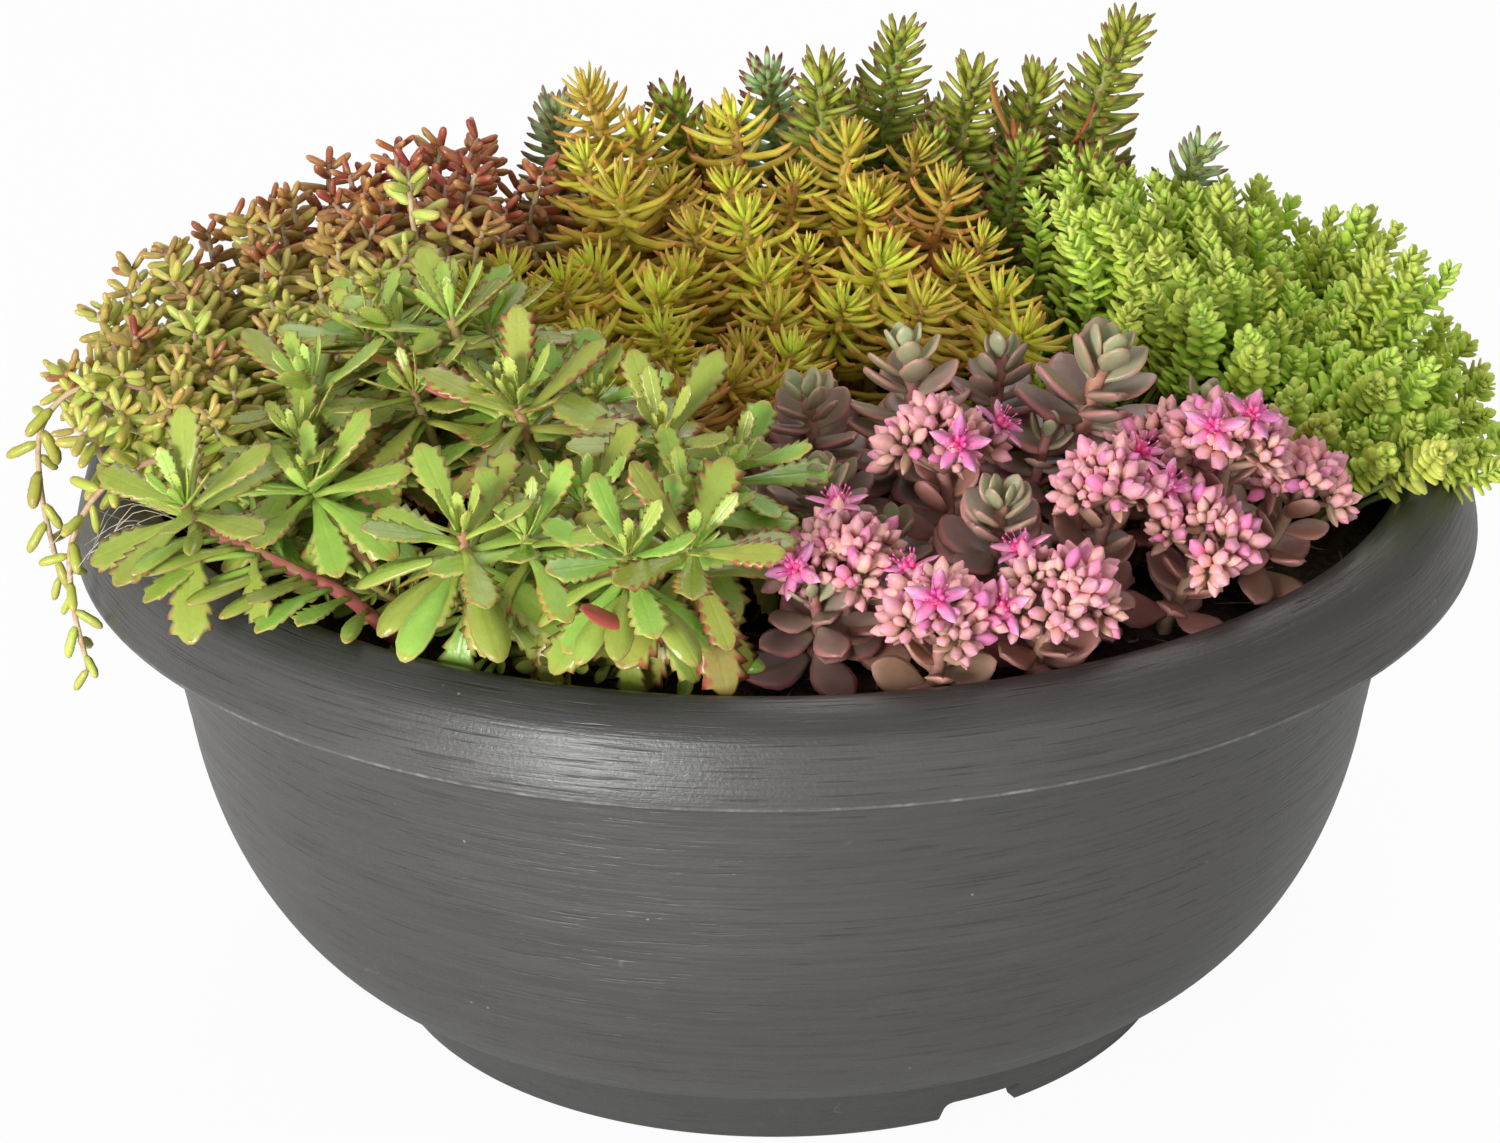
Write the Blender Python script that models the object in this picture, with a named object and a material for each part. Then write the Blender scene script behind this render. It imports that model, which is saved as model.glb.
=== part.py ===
"""A round planted bowl: one moulded pot, its compost and six stonecrops, as separate solids.

Units are metres. The origin is under the middle of the bowl, +Z is up and -Y is the front.
"""
import math

import bmesh
import bpy
from mathutils import Vector

GAP = 0.0003                    # clearance between pieces that touch
TURNED_SIDES = 60               # flats round the bowl and the compost

# Bowl
WALL = 0.003
RIM_RADIUS = 0.175              # widest circle, along the lower edge of the rim
RIM_EDGE_Z = 0.125
RIM_SHOULDER_Z = 0.129          # where the rim starts to curve in
RIM_CREST_RADIUS = 0.1605
RIM_CREST_Z = 0.1466
MOUTH_RADIUS = 0.1564           # inner edge of the rim
MOUTH_Z = 0.1446
LIP_ROOT_Z = 0.138              # where the turned-down lip meets the collar
COLLAR_TOP = (0.1564, 0.118)
COLLAR_FOOT = (0.1496, 0.0845)
BELLY_CENTRE = (0.0971, 0.100)  # the belly is part of an ellipse in radius and height
BELLY_AXES = (0.0534, 0.086)
BELLY_FOOT_Z = 0.0205
FLOOR_Z = 0.0185                # underside of the floor
FOOT_TOP_RADIUS = 0.1105
FOOT_RADIUS = 0.0999
FOOT_WALL = 0.0044

# Water outlets
NOTCH_WIDTH = 0.022
NOTCH_HEIGHT = 0.0065
NOTCH_ANGLES = (29, 149, 269)   # degrees from the front, towards +X
HOLE_RADIUS = 0.005
HOLE_RING = 0.062
HOLES = 6

# Compost
COMPOST_Z = 0.133
COMPOST_FLAT_RADIUS = 0.146
COMPOST_EDGE_Z = 0.130

# Shoots
STEM_SIDES = 6
GOLDEN_ANGLE = math.radians(137.5)
ROOT_PULL = 0.94                # a root's distance from the middle beside its tip's
ROOT_RADIUS = 0.141             # the furthest root from the middle
DROOP_FROM = 0.110              # roots further out than this let their outer leaves droop
KNEE_OUT = 0.35                 # a stem first rises and then leans out
KNEE_UP = 0.68
SIZE_SPREAD = 0.06
STEM_TAPER = 0.6                # a stem's tip beside its root
LOWEST_LEAVES = 0.3             # no leaves on the first part of a stem

COLOURS = {
    "bowl": (0.052, 0.054, 0.058),
    "compost": (0.035, 0.024, 0.018),
    "toothed": (0.235, 0.400, 0.085),
    "bean": (0.330, 0.260, 0.090),
    "golden": (0.430, 0.400, 0.045),
    "spruce": (0.130, 0.240, 0.060),
    "moss": (0.270, 0.470, 0.060),
    "round": (0.260, 0.210, 0.200),
    "flower": (0.700, 0.230, 0.380),
}
ROUGHNESS = {"bowl": 0.45, "compost": 0.95}
LEAF_ROUGHNESS = 0.5

# How each plant grows. A leaf is (length, width, thickness); the angles are the lowest and the
# highest leaf's rise above square to the stem, in degrees; droop lowers the leaves that reach
# out over the rim, bulge is where a leaf is widest, shrink is the highest leaf beside the lowest,
# and crown is how far the stem goes on above its leaves, as a share of its length.
HABITS = {
    "toothed": dict(stem=0.0022, leafy=0.013, rows=4, leaf=(0.027, 0.0085, 0.0022),
                    angles=(2, 62), droop=8, bulge=0.72, shrink=0.62),
    "bean": dict(stem=0.0013, leafy=0.032, rows=5, leaf=(0.0110, 0.0048, 0.0044),
                 angles=(12, 60), droop=0, bulge=0.55, shrink=0.8),
    "golden": dict(stem=0.0020, leafy=0.018, rows=5, leaf=(0.0150, 0.0034, 0.0026),
                   angles=(10, 68), droop=0, bulge=0.55, shrink=0.8),
    "spruce": dict(stem=0.0030, leafy=0.052, rows=12, leaf=(0.0085, 0.0, 0.0),
                   angles=(18, 66), droop=0, bulge=None, shrink=0.75),
    "moss": dict(stem=0.0034, leafy=0.012, rows=4, leaf=(0.035, 0.0064, 0.0056),
                 angles=(61, 76), droop=30, bulge=0.70, shrink=0.85, crown=0.46),
    "round": dict(stem=0.0028, leafy=0.022, rows=4, leaf=(0.0150, 0.0125, 0.0036),
                  angles=(12, 58), droop=0, bulge=0.62, shrink=0.6),
    "flower": dict(stem=0.0022, leafy=0.016, rows=4, leaf=(0.0105, 0.0066, 0.0058),
                   angles=(-6, 62), droop=0, bulge=0.66, shrink=0.85),
    "trail": dict(stem=0.0011, leafy=0.085, rows=12, leaf=(0.0085, 0.0036, 0.0034),
                  angles=(25, 25), droop=0, bulge=0.55, shrink=0.9),
}

# Where the top of each shoot stands.
TOOTHED_TIPS = [
    (-0.060, -0.090, 0.182), (-0.024, -0.106, 0.178), (-0.074, -0.140, 0.168),
    (-0.019, -0.150, 0.167), (-0.136, -0.094, 0.168), (-0.082, -0.046, 0.188),
    (-0.114, -0.062, 0.178), (-0.107, -0.116, 0.168),
]
BEAN_TIPS = [
    (-0.086, 0.078, 0.204), (-0.074, 0.046, 0.200), (-0.140, 0.060, 0.186),
    (-0.112, 0.030, 0.188), (-0.166, 0.034, 0.178),
    (-0.150, -0.012, 0.178), (-0.152, -0.046, 0.172), (-0.120, 0.100, 0.188),
]
GOLDEN_TIPS = [
    (-0.050, 0.070, 0.208), (-0.010, 0.070, 0.200), (0.022, 0.062, 0.196),
    (-0.040, 0.036, 0.192), (0.047, 0.044, 0.190), (-0.008, 0.034, 0.186),
    (-0.054, 0.004, 0.181), (0.030, 0.014, 0.180), (-0.026, -0.002, 0.178),
    (0.062, 0.006, 0.174), (-0.012, -0.038, 0.168),
]
SPRUCE_TIPS = [
    (-0.030, 0.092, 0.203), (-0.003, 0.104, 0.206), (0.014, 0.084, 0.214),
    (0.036, 0.098, 0.218), (0.056, 0.088, 0.211), (0.074, 0.104, 0.204),
    (0.099, 0.094, 0.221), (0.022, 0.128, 0.190), (-0.060, 0.112, 0.194),
]
MOSS_TIPS = [
    (0.082, 0.020, 0.192), (0.084, 0.058, 0.191), (0.116, 0.044, 0.187),
    (0.112, 0.004, 0.180), (0.158, 0.058, 0.173), (0.172, 0.018, 0.174),
    (0.152, -0.032, 0.164), (0.128, 0.088, 0.178),
]
ROUND_TIPS = [
    (0.033, -0.044, 0.180), (0.008, -0.056, 0.172), (0.058, -0.042, 0.176),
    (0.080, -0.060, 0.182), (0.008, -0.092, 0.164), (0.052, -0.112, 0.166),
]
FLOWER_TIPS = [
    (0.036, -0.086, 0.180), (0.010, -0.128, 0.166), (0.038, -0.144, 0.162),
    (0.068, -0.142, 0.164), (0.080, -0.106, 0.178), (0.110, -0.084, 0.180),
]
# Stems that lean out over the rim and hang beside it: points from the compost to the tip.
ROOT_Z = COMPOST_Z + GAP
TRAILS = [
    [(-0.130, -0.030, ROOT_Z), (-0.148, -0.029, 0.166), (-0.168, -0.025, 0.169),
     (-0.180, -0.020, 0.157), (-0.182, -0.017, 0.138), (-0.179, -0.014, 0.113)],
    [(-0.123, -0.050, ROOT_Z), (-0.142, -0.055, 0.160), (-0.158, -0.060, 0.159),
     (-0.168, -0.064, 0.146), (-0.169, -0.066, 0.130), (-0.166, -0.067, 0.112)],
]


def clear_scene():
    for item in list(bpy.data.objects):
        bpy.data.objects.remove(item, do_unlink=True)


def make_material(slot):
    finish = bpy.data.materials.new(slot)
    finish.use_nodes = True
    shader = finish.node_tree.nodes["Principled BSDF"]
    shader.inputs["Base Color"].default_value = (*COLOURS[slot], 1.0)
    shader.inputs["Roughness"].default_value = ROUGHNESS.get(slot, LEAF_ROUGHNESS)
    shader.inputs["Metallic"].default_value = 0.0
    return finish


def add_piece(name, mesh_builder, finish, sharp_above=40):
    """Turn a finished bmesh into a named object with its own material."""
    bmesh.ops.recalc_face_normals(mesh_builder, faces=mesh_builder.faces)
    mesh = bpy.data.meshes.new(name)
    mesh_builder.to_mesh(mesh)
    mesh_builder.free()
    mesh.shade_smooth()
    mesh.set_sharp_from_angle(angle=math.radians(sharp_above))
    mesh.materials.append(finish)
    piece = bpy.data.objects.new(name, mesh)
    bpy.context.collection.objects.link(piece)
    return piece


def add_cutter(name, mesh_builder):
    cutter = add_piece(name, mesh_builder, None)
    cutter.hide_render = True
    cutter.display_type = "WIRE"
    return cutter


def cut(piece, cutter):
    boolean = piece.modifiers.new(cutter.name, "BOOLEAN")
    boolean.operation = "DIFFERENCE"
    boolean.solver = "EXACT"
    boolean.object = cutter


def turn(profile):
    """Spin a closed (radius, height) profile, given from axis to axis, round the Z axis."""
    mesh_builder = bmesh.new()
    points = [mesh_builder.verts.new((radius, 0.0, z)) for radius, z in profile]
    edges = [mesh_builder.edges.new(pair) for pair in zip(points, points[1:])]
    bmesh.ops.spin(mesh_builder, geom=points + edges, axis=(0, 0, 1), cent=(0, 0, 0),
                   angle=math.tau, steps=TURNED_SIDES, use_duplicate=False)
    bmesh.ops.remove_doubles(mesh_builder, verts=mesh_builder.verts, dist=0.00001)
    return mesh_builder


def ellipse_arc(centre, axes, start, end, steps):
    """Points on an ellipse in (radius, height), from one angle to another in degrees."""
    arc = []
    for step in range(steps + 1):
        angle = math.radians(start + (end - start) * step / steps)
        arc.append((centre[0] + axes[0] * math.cos(angle), centre[1] + axes[1] * math.sin(angle)))
    return arc


def belly_arc(inset, low_z, high_z, steps):
    """The belly's curve, moved in by inset, from a low height up to a high one."""
    axes = (BELLY_AXES[0] - inset, BELLY_AXES[1] - inset)
    low, high = (math.degrees(math.asin((z - BELLY_CENTRE[1]) / axes[1])) for z in (low_z, high_z))
    return ellipse_arc(BELLY_CENTRE, axes, low, high, steps)


def inner_wall(inset):
    """Inside of the bowl from the edge of its floor up to the collar, moved in by inset."""
    depth = WALL + inset
    wall = belly_arc(depth, FLOOR_Z + depth, COLLAR_FOOT[1], 5)
    wall.append((COLLAR_TOP[0] - depth, COLLAR_TOP[1]))
    return wall


def bowl_profile():
    """Section of the bowl: floor, inner wall, rim, turned-down lip, collar, belly and foot."""
    crest_centre = (RIM_CREST_RADIUS, RIM_SHOULDER_Z)
    crest_axes = (RIM_RADIUS - RIM_CREST_RADIUS, RIM_CREST_Z - RIM_SHOULDER_Z)
    lip_axes = (crest_axes[0] - WALL, LIP_ROOT_Z + WALL - RIM_SHOULDER_Z)
    section = [(0.0, FLOOR_Z + WALL)]
    section += inner_wall(0.0)
    section.append((MOUTH_RADIUS, MOUTH_Z))
    section += ellipse_arc(crest_centre, crest_axes, 90, 0, 5)
    section += [(RIM_RADIUS, RIM_EDGE_Z), (RIM_RADIUS - WALL, RIM_EDGE_Z)]
    section += ellipse_arc(crest_centre, lip_axes, 0, 72, 2)
    section += [(COLLAR_TOP[0] + WALL / 2, LIP_ROOT_Z), COLLAR_TOP]
    section += reversed(belly_arc(0.0, BELLY_FOOT_Z, COLLAR_FOOT[1], 6))
    section += [(FOOT_TOP_RADIUS, FLOOR_Z), (FOOT_RADIUS, 0.0), (FOOT_RADIUS - FOOT_WALL, 0.0)]
    section += [(FOOT_TOP_RADIUS - FOOT_WALL, FLOOR_Z), (0.0, FLOOR_Z)]
    return section


def notch_cutter(angle):
    """A wide low slot through the foot, with its upper corners cut off."""
    half, chamfer, depth = NOTCH_WIDTH / 2, NOTCH_HEIGHT * 0.45, FOOT_WALL * 2
    outline = [(-half, -NOTCH_HEIGHT), (half, -NOTCH_HEIGHT), (half, NOTCH_HEIGHT - chamfer),
               (half - chamfer, NOTCH_HEIGHT), (chamfer - half, NOTCH_HEIGHT),
               (-half, NOTCH_HEIGHT - chamfer)]
    heading = math.radians(angle)
    outward = Vector((math.sin(heading), -math.cos(heading), 0.0))
    across = Vector((math.cos(heading), math.sin(heading), 0.0))
    mesh_builder = bmesh.new()
    start = outward * (FOOT_RADIUS - FOOT_WALL / 2 - depth)
    points = [mesh_builder.verts.new(start + across * side + Vector((0, 0, z)))
              for side, z in outline]
    face = mesh_builder.faces.new(points)
    drawn = bmesh.ops.extrude_face_region(mesh_builder, geom=[face])
    moved = [item for item in drawn["geom"] if isinstance(item, bmesh.types.BMVert)]
    bmesh.ops.translate(mesh_builder, verts=moved, vec=outward * depth * 2)
    return add_cutter(f"notch_cutter_{angle}", mesh_builder)


def hole_cutters():
    """One round drain hole in the middle of the floor and a ring of others, as one cutter."""
    mesh_builder = bmesh.new()
    places = [Vector((0.0, 0.0, FLOOR_Z))]
    for index in range(HOLES):
        heading = math.tau * index / HOLES
        ring_place = (HOLE_RING * math.cos(heading), HOLE_RING * math.sin(heading), FLOOR_Z)
        places.append(Vector(ring_place))
    for place in places:
        drill = bmesh.ops.create_cone(mesh_builder, cap_ends=True, segments=12,
                                      radius1=HOLE_RADIUS, radius2=HOLE_RADIUS, depth=WALL * 4)
        bmesh.ops.translate(mesh_builder, verts=drill["verts"], vec=place)
    return add_cutter("drain_hole_cutters", mesh_builder)


def make_bowl(finish):
    bowl = add_piece("bowl", turn(bowl_profile()), finish)
    for angle in NOTCH_ANGLES:
        cut(bowl, notch_cutter(angle))
    cut(bowl, hole_cutters())


def make_compost(finish):
    section = [(0.0, FLOOR_Z + WALL + GAP)]
    section += inner_wall(GAP)
    lean = (MOUTH_RADIUS - COLLAR_TOP[0] + WALL) / (MOUTH_Z - COLLAR_TOP[1])
    edge_radius = COLLAR_TOP[0] - WALL - GAP + lean * (COMPOST_EDGE_Z - COLLAR_TOP[1])
    section += [(edge_radius, COMPOST_EDGE_Z), (COMPOST_FLAT_RADIUS, COMPOST_Z), (0.0, COMPOST_Z)]
    add_piece("compost", turn(section), finish)


def bend(controls, amount):
    """A point on the smooth curve that the control points pull towards them."""
    level = [Vector(point) for point in controls]
    while len(level) > 1:
        level = [first.lerp(second, amount) for first, second in zip(level, level[1:])]
    return level[0]


def pass_through(points, amount):
    """A point on a smooth curve that passes through all the points."""
    knots = [Vector(point) for point in points]
    knots = [knots[0] * 2 - knots[1]] + knots + [knots[-1] * 2 - knots[-2]]
    place = amount * (len(points) - 1)
    span = min(int(place), len(points) - 2)
    part = place - span
    before, start, end, after = knots[span:span + 4]
    return 0.5 * (2 * start + (end - before) * part
                  + (2 * before - 5 * start + 4 * end - after) * part ** 2
                  + (3 * start - before - 3 * end + after) * part ** 3)


def draw_stem(mesh_builder, route, radii, twist):
    """Rings of corners square to the route, closed at both ends; returns its rows of sides."""
    rings = []
    for index, (centre, radius) in enumerate(zip(route, radii)):
        ahead = route[min(index + 1, len(route) - 1)] - route[max(index - 1, 0)]
        facing = Vector((0, 0, 1)).rotation_difference(ahead)
        if index == 0:
            facing.identity()
        ring = []
        for side in range(STEM_SIDES):
            angle = twist + math.tau * side / STEM_SIDES
            spoke = Vector((radius * math.cos(angle), radius * math.sin(angle), 0.0))
            ring.append(mesh_builder.verts.new(centre + facing @ spoke))
        rings.append(ring)
    mesh_builder.faces.new(list(reversed(rings[0])))
    mesh_builder.faces.new(rings[-1])
    rows = []
    for low, high in zip(rings, rings[1:]):
        row = []
        for side in range(STEM_SIDES):
            after = (side + 1) % STEM_SIDES
            row.append(mesh_builder.faces.new((low[side], low[after], high[after], high[side])))
        rows.append(row)
    mesh_builder.normal_update()
    return rows


def draw_leaf(mesh_builder, face, along, rise, leaf, bulge):
    """Draw one leaf out of a side face of the stem, widening at its bulge and ending in a point."""
    length, width, thickness = leaf
    root = face.calc_center_median()
    outward = face.normal.copy()
    across = along.cross(outward).normalized()
    heading = outward * math.cos(rise) + along * math.sin(rise)
    upward = heading.cross(across)
    if bulge is not None:
        face = bmesh.ops.extrude_discrete_faces(mesh_builder, faces=[face])["faces"][0]
        middle = root + heading * length * bulge
        for corner in face.verts:
            offset = corner.co - root
            side = math.copysign(width / 2, offset.dot(across))
            lift = math.copysign(thickness / 2, offset.dot(along))
            corner.co = middle + across * side + upward * lift
    face = bmesh.ops.extrude_discrete_faces(mesh_builder, faces=[face])["faces"][0]
    bmesh.ops.pointmerge(mesh_builder, verts=face.verts, merge_co=root + heading * length)


def grow(name, finish, habit, route_at, length, twist=0.0, size=1.0):
    """A stem along route_at, a function of 0 to 1, with leaves in rows, as one closed solid."""
    rows = habit["rows"]
    top = 1.0 - habit.get("crown", 0.0)
    bare = max(LOWEST_LEAVES * top, top - habit["leafy"] * size / length)
    stations = [0.0, bare * 0.5] + [bare + (top - bare) * row / rows for row in range(rows + 1)]
    if top < 1.0:
        stations.append(1.0)
    route = [route_at(station) for station in stations]
    radii = [habit["stem"]] * (len(route) - 1) + [habit["stem"] * STEM_TAPER]
    mesh_builder = bmesh.new()
    sides = draw_stem(mesh_builder, route, radii, twist)
    outer = Vector((route[0].x, route[0].y, 0.0))
    overhang = min(max((outer.length - DROOP_FROM) / (ROOT_RADIUS - DROOP_FROM), 0.0), 1.0)
    outer.normalize()
    for row, faces in enumerate(sides[2:rows + 2]):
        share = row / (rows - 1)
        along = (route[row + 3] - route[row + 2]).normalized()
        scale = size * (1.0 + (habit["shrink"] - 1.0) * share)
        leaf = [measure * scale for measure in habit["leaf"]]
        low, high = habit["angles"]
        for face in faces[row % 2::2]:
            droop = habit["droop"] * overhang * (1.0 - share) * max(0.0, face.normal.dot(outer))
            rise = math.radians(low + (high - low) * share - droop)
            draw_leaf(mesh_builder, face, along, rise, leaf, habit["bulge"])
    add_piece(name, mesh_builder, finish, sharp_above=30)


def grow_shoots(label, kind, tips):
    """One shoot for each tip, rooted in the compost below it and leaning outwards to it."""
    finish = make_material(kind)
    for index, tip in enumerate(tips, start=1):
        top = Vector(tip)
        reach = math.hypot(top.x, top.y)
        inward = min(ROOT_PULL, ROOT_RADIUS / reach)
        root = Vector((top.x * inward, top.y * inward, ROOT_Z))
        knee = root.lerp(top, KNEE_OUT)
        knee.z = root.z + (top.z - root.z) * KNEE_UP
        controls = (root, knee, top)
        size = 1.0 + SIZE_SPREAD * math.sin(index * GOLDEN_ANGLE)
        grow(f"{label}_{index:02d}", finish, HABITS[kind],
             lambda amount: bend(controls, amount), (top - root).length,
             twist=index * GOLDEN_ANGLE, size=size)


def main():
    clear_scene()
    make_bowl(make_material("bowl"))
    make_compost(make_material("compost"))
    grow_shoots("toothed_shoot", "toothed", TOOTHED_TIPS)
    grow_shoots("bean_leaf_shoot", "bean", BEAN_TIPS)
    grow_shoots("golden_shoot", "golden", GOLDEN_TIPS)
    grow_shoots("spruce_leaf_spike", "spruce", SPRUCE_TIPS)
    grow_shoots("moss_tuft", "moss", MOSS_TIPS)
    grow_shoots("round_leaf_rosette", "round", ROUND_TIPS)
    grow_shoots("flower_head", "flower", FLOWER_TIPS)
    finish = bpy.data.materials["bean"]
    for index, points in enumerate(TRAILS, start=1):
        length = sum(math.dist(first, second) for first, second in zip(points, points[1:]))
        grow(f"trailing_stem_{index:02d}", finish, HABITS["trail"],
             lambda amount: pass_through(points, amount), length)


main()
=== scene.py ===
# %% [markdown]
# # A planted stonecrop bowl
# The object is one moulded bowl of dark plastic, filled with compost and planted with six kinds
# of stonecrop. The CAD model gives every size and place: the bowl's section, the height of the
# compost and where the top of each shoot stands. This lesson dresses it, piece by piece.

# %% Bring in the CAD model
import math

import bmesh
import bpy
import numpy as np
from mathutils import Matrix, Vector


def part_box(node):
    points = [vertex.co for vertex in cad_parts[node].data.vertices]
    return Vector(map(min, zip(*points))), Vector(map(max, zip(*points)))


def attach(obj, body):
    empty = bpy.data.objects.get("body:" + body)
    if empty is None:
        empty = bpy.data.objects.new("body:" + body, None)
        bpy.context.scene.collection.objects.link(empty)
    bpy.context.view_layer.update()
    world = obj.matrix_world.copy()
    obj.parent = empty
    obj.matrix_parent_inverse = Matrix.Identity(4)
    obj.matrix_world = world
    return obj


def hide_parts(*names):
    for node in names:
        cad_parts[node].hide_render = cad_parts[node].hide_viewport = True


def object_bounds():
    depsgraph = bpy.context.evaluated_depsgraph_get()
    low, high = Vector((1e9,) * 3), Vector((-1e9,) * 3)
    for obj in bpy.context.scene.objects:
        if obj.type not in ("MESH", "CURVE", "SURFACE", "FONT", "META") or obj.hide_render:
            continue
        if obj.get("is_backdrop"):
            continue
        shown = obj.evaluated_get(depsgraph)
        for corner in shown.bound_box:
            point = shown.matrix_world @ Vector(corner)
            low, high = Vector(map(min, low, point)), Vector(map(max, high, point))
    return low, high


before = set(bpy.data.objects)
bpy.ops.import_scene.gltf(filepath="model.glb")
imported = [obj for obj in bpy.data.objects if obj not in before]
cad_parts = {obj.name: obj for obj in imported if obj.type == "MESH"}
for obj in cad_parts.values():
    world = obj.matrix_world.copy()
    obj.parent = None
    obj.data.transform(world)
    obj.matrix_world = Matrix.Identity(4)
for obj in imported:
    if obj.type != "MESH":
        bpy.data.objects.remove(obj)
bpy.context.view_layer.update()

MM = 0.001

# %% [markdown]
# ## The view
# The camera stands in front of the bowl and looks down on it by about 24 degrees, from far
# enough away for a long lens. It is made first, so that every later step can be looked at.

# %% Camera
CAMERA_PLACE = (0.0, -1.2395, 0.6508)
CAMERA_DOWN = 0.4134            # radians below level
CAMERA_SIDE = 0.0054            # radians to the left of straight ahead
CAMERA_ROLL = 0.0114
LENS_MM = 128.47
SENSOR_MM = 36.0


def aim(made, place, right, above, back):
    """Set an object at a place, with the three directions that it looks along."""
    world = np.eye(4)
    world[:3, 0], world[:3, 1], world[:3, 2], world[:3, 3] = right, above, back, place
    made.matrix_world = world.T
    bpy.context.collection.objects.link(made)


def place_camera():
    """Make the camera from where it stands and the direction it looks in."""
    ahead = np.array([-math.sin(CAMERA_SIDE) * math.cos(CAMERA_DOWN),
                      math.cos(CAMERA_SIDE) * math.cos(CAMERA_DOWN), -math.sin(CAMERA_DOWN)])
    right = np.cross(ahead, (0, 0, 1))
    right /= np.linalg.norm(right)
    above = np.cross(right, ahead)
    turned_right = right * math.cos(CAMERA_ROLL) - above * math.sin(CAMERA_ROLL)
    turned_above = right * math.sin(CAMERA_ROLL) + above * math.cos(CAMERA_ROLL)
    lens = bpy.data.cameras.new("camera")
    lens.lens, lens.sensor_width = LENS_MM, SENSOR_MM
    camera = bpy.data.objects.new("camera", lens)
    aim(camera, CAMERA_PLACE, turned_right, turned_above, -ahead)
    bpy.context.scene.camera = camera


place_camera()
bpy.context.scene.view_settings.view_transform = "Standard"
print("camera looks down by", round(math.degrees(CAMERA_DOWN), 1), "degrees")

# %% [markdown]
# ## A short way to write materials
# A finish is a chain of nodes that ends in one Principled shader. Writing each node by hand is
# long, so this small class adds a node, feeds its sockets and hands back the result.

# %% Finish helper
class Finish:
    """A material, with short ways to add nodes to it."""

    def __init__(self, name, **uniform):
        self.material = bpy.data.materials.new(name)
        self.material.use_nodes = True
        self.tree = self.material.node_tree
        self.shader = self.tree.nodes["Principled BSDF"]
        self.finish(**uniform)

    def feed(self, socket, value):
        """Link a socket to another, or set it to a value."""
        if isinstance(value, bpy.types.NodeSocket):
            self.tree.links.new(value, socket)
        elif value is not None:
            if socket.type == "RGBA" and len(value) == 3:
                value = (*value, 1.0)
            socket.default_value = value

    def node(self, kind, *values, **settings):
        """Add a node with its settings, and feed its sockets in their order."""
        made = self.tree.nodes.new("ShaderNode" + kind)
        for label, value in settings.items():
            setattr(made, label, value)
        for socket, value in zip(made.inputs, values):
            self.feed(socket, value)
        return made

    def mix(self, amount, under, over, how="MIX"):
        """Lay one colour over another."""
        made = self.node("Mix", data_type="RGBA", blend_type=how, clamp_factor=True)
        for index, value in ((0, amount), (6, under), (7, over)):
            self.feed(made.inputs[index], value)
        return made.outputs[2]

    def sum(self, how, first, second=None):
        return self.node("Math", first, second, operation=how).outputs[0]

    def times(self, first, second):
        return self.sum("MULTIPLY", first, second)

    def plus(self, first, second):
        return self.sum("ADD", first, second)

    def minus(self, first, second):
        return self.sum("SUBTRACT", first, second)

    def fade(self, value, low, high, start=0.0, end=1.0):
        """start below low, end above high, and a soft change between them."""
        return self.node("MapRange", value, low, high, start, end,
                         interpolation_type="SMOOTHSTEP").outputs[0]

    def place(self):
        """Where a point lies on the piece, in metres."""
        return self.node("TexCoord").outputs["Object"]

    def noise(self, size, detail=2.0, rough=0.5, where=None):
        """Cloudy noise whose patches are about size metres across."""
        where = self.place() if where is None else where
        return self.node("TexNoise", where, None, 1.0 / size, detail, rough).outputs["Fac"]

    def threads(self, size, width, detail=3.0):
        """Thin winding lines, where noise passes through its middle."""
        wave = self.node("TexNoise", self.place(), None, 1.0 / size, detail, 0.55, 2.0,
                         2.5).outputs["Fac"]
        return self.fade(self.sum("ABSOLUTE", self.minus(wave, 0.5)), 0.0, width, 1, 0)

    def told(self, name):
        """The three numbers of an attribute of the mesh."""
        spot = self.node("Attribute", attribute_name=name).outputs["Vector"]
        return self.node("SeparateXYZ", spot).outputs

    def bump(self, height, depth):
        """The surface's direction, tilted by a height that is worth depth metres at 1."""
        made = self.node("Bump")
        for label, value in (("Strength", 1.0), ("Distance", depth), ("Height", height)):
            self.feed(made.inputs[label], value)
        return made.outputs[0]

    def shade(self, tone, tint, spread, low=0.84, high=1.14):
        """Shift hue and brightness by a chance number from 0 to 1."""
        hue = self.fade(tint, 0.0, 1.0, 0.5 - spread / 2, 0.5 + spread / 2)
        return self.node("HueSaturation", hue, 1.0, self.fade(tint, 0, 1, low, high), 1.0,
                         tone).outputs[0]

    def finish(self, **links):
        """Feed the shader's own sockets and hand the material back."""
        for label, value in links.items():
            self.feed(self.shader.inputs[label.replace("_", " ")], value)
        return self.material


# %% [markdown]
# ## Studio
# A large soft lamp stands low on the left of the camera and gives the long light on the rim's
# front. A weaker one fills from the right, one more hangs behind, and a pale world lights the
# rest. Small strong lamps would draw hard shadows and burn out the pale leaves, and under large
# soft ones a colour looks about as it is written. The floor is one wide pale sheet that the
# camera sees brightened, so that it reads as white and still takes the bowl's shadow.

# %% Floor
def clear_selection():
    """Leave edit mode and select nothing, so that the next operator acts on one thing only."""
    if bpy.context.object and bpy.context.object.mode != "OBJECT":
        bpy.ops.object.mode_set(mode="OBJECT")
    bpy.ops.object.select_all(action="DESELECT")


def paint(made, *finishes):
    """Give a piece these finishes and no others."""
    made.data.materials.clear()
    for finish in finishes:
        made.data.materials.append(finish)


FLOOR_SIZE = 12.0
FLOOR_LIFT = 0.95               # share of plain white in the floor that the camera sees

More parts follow.
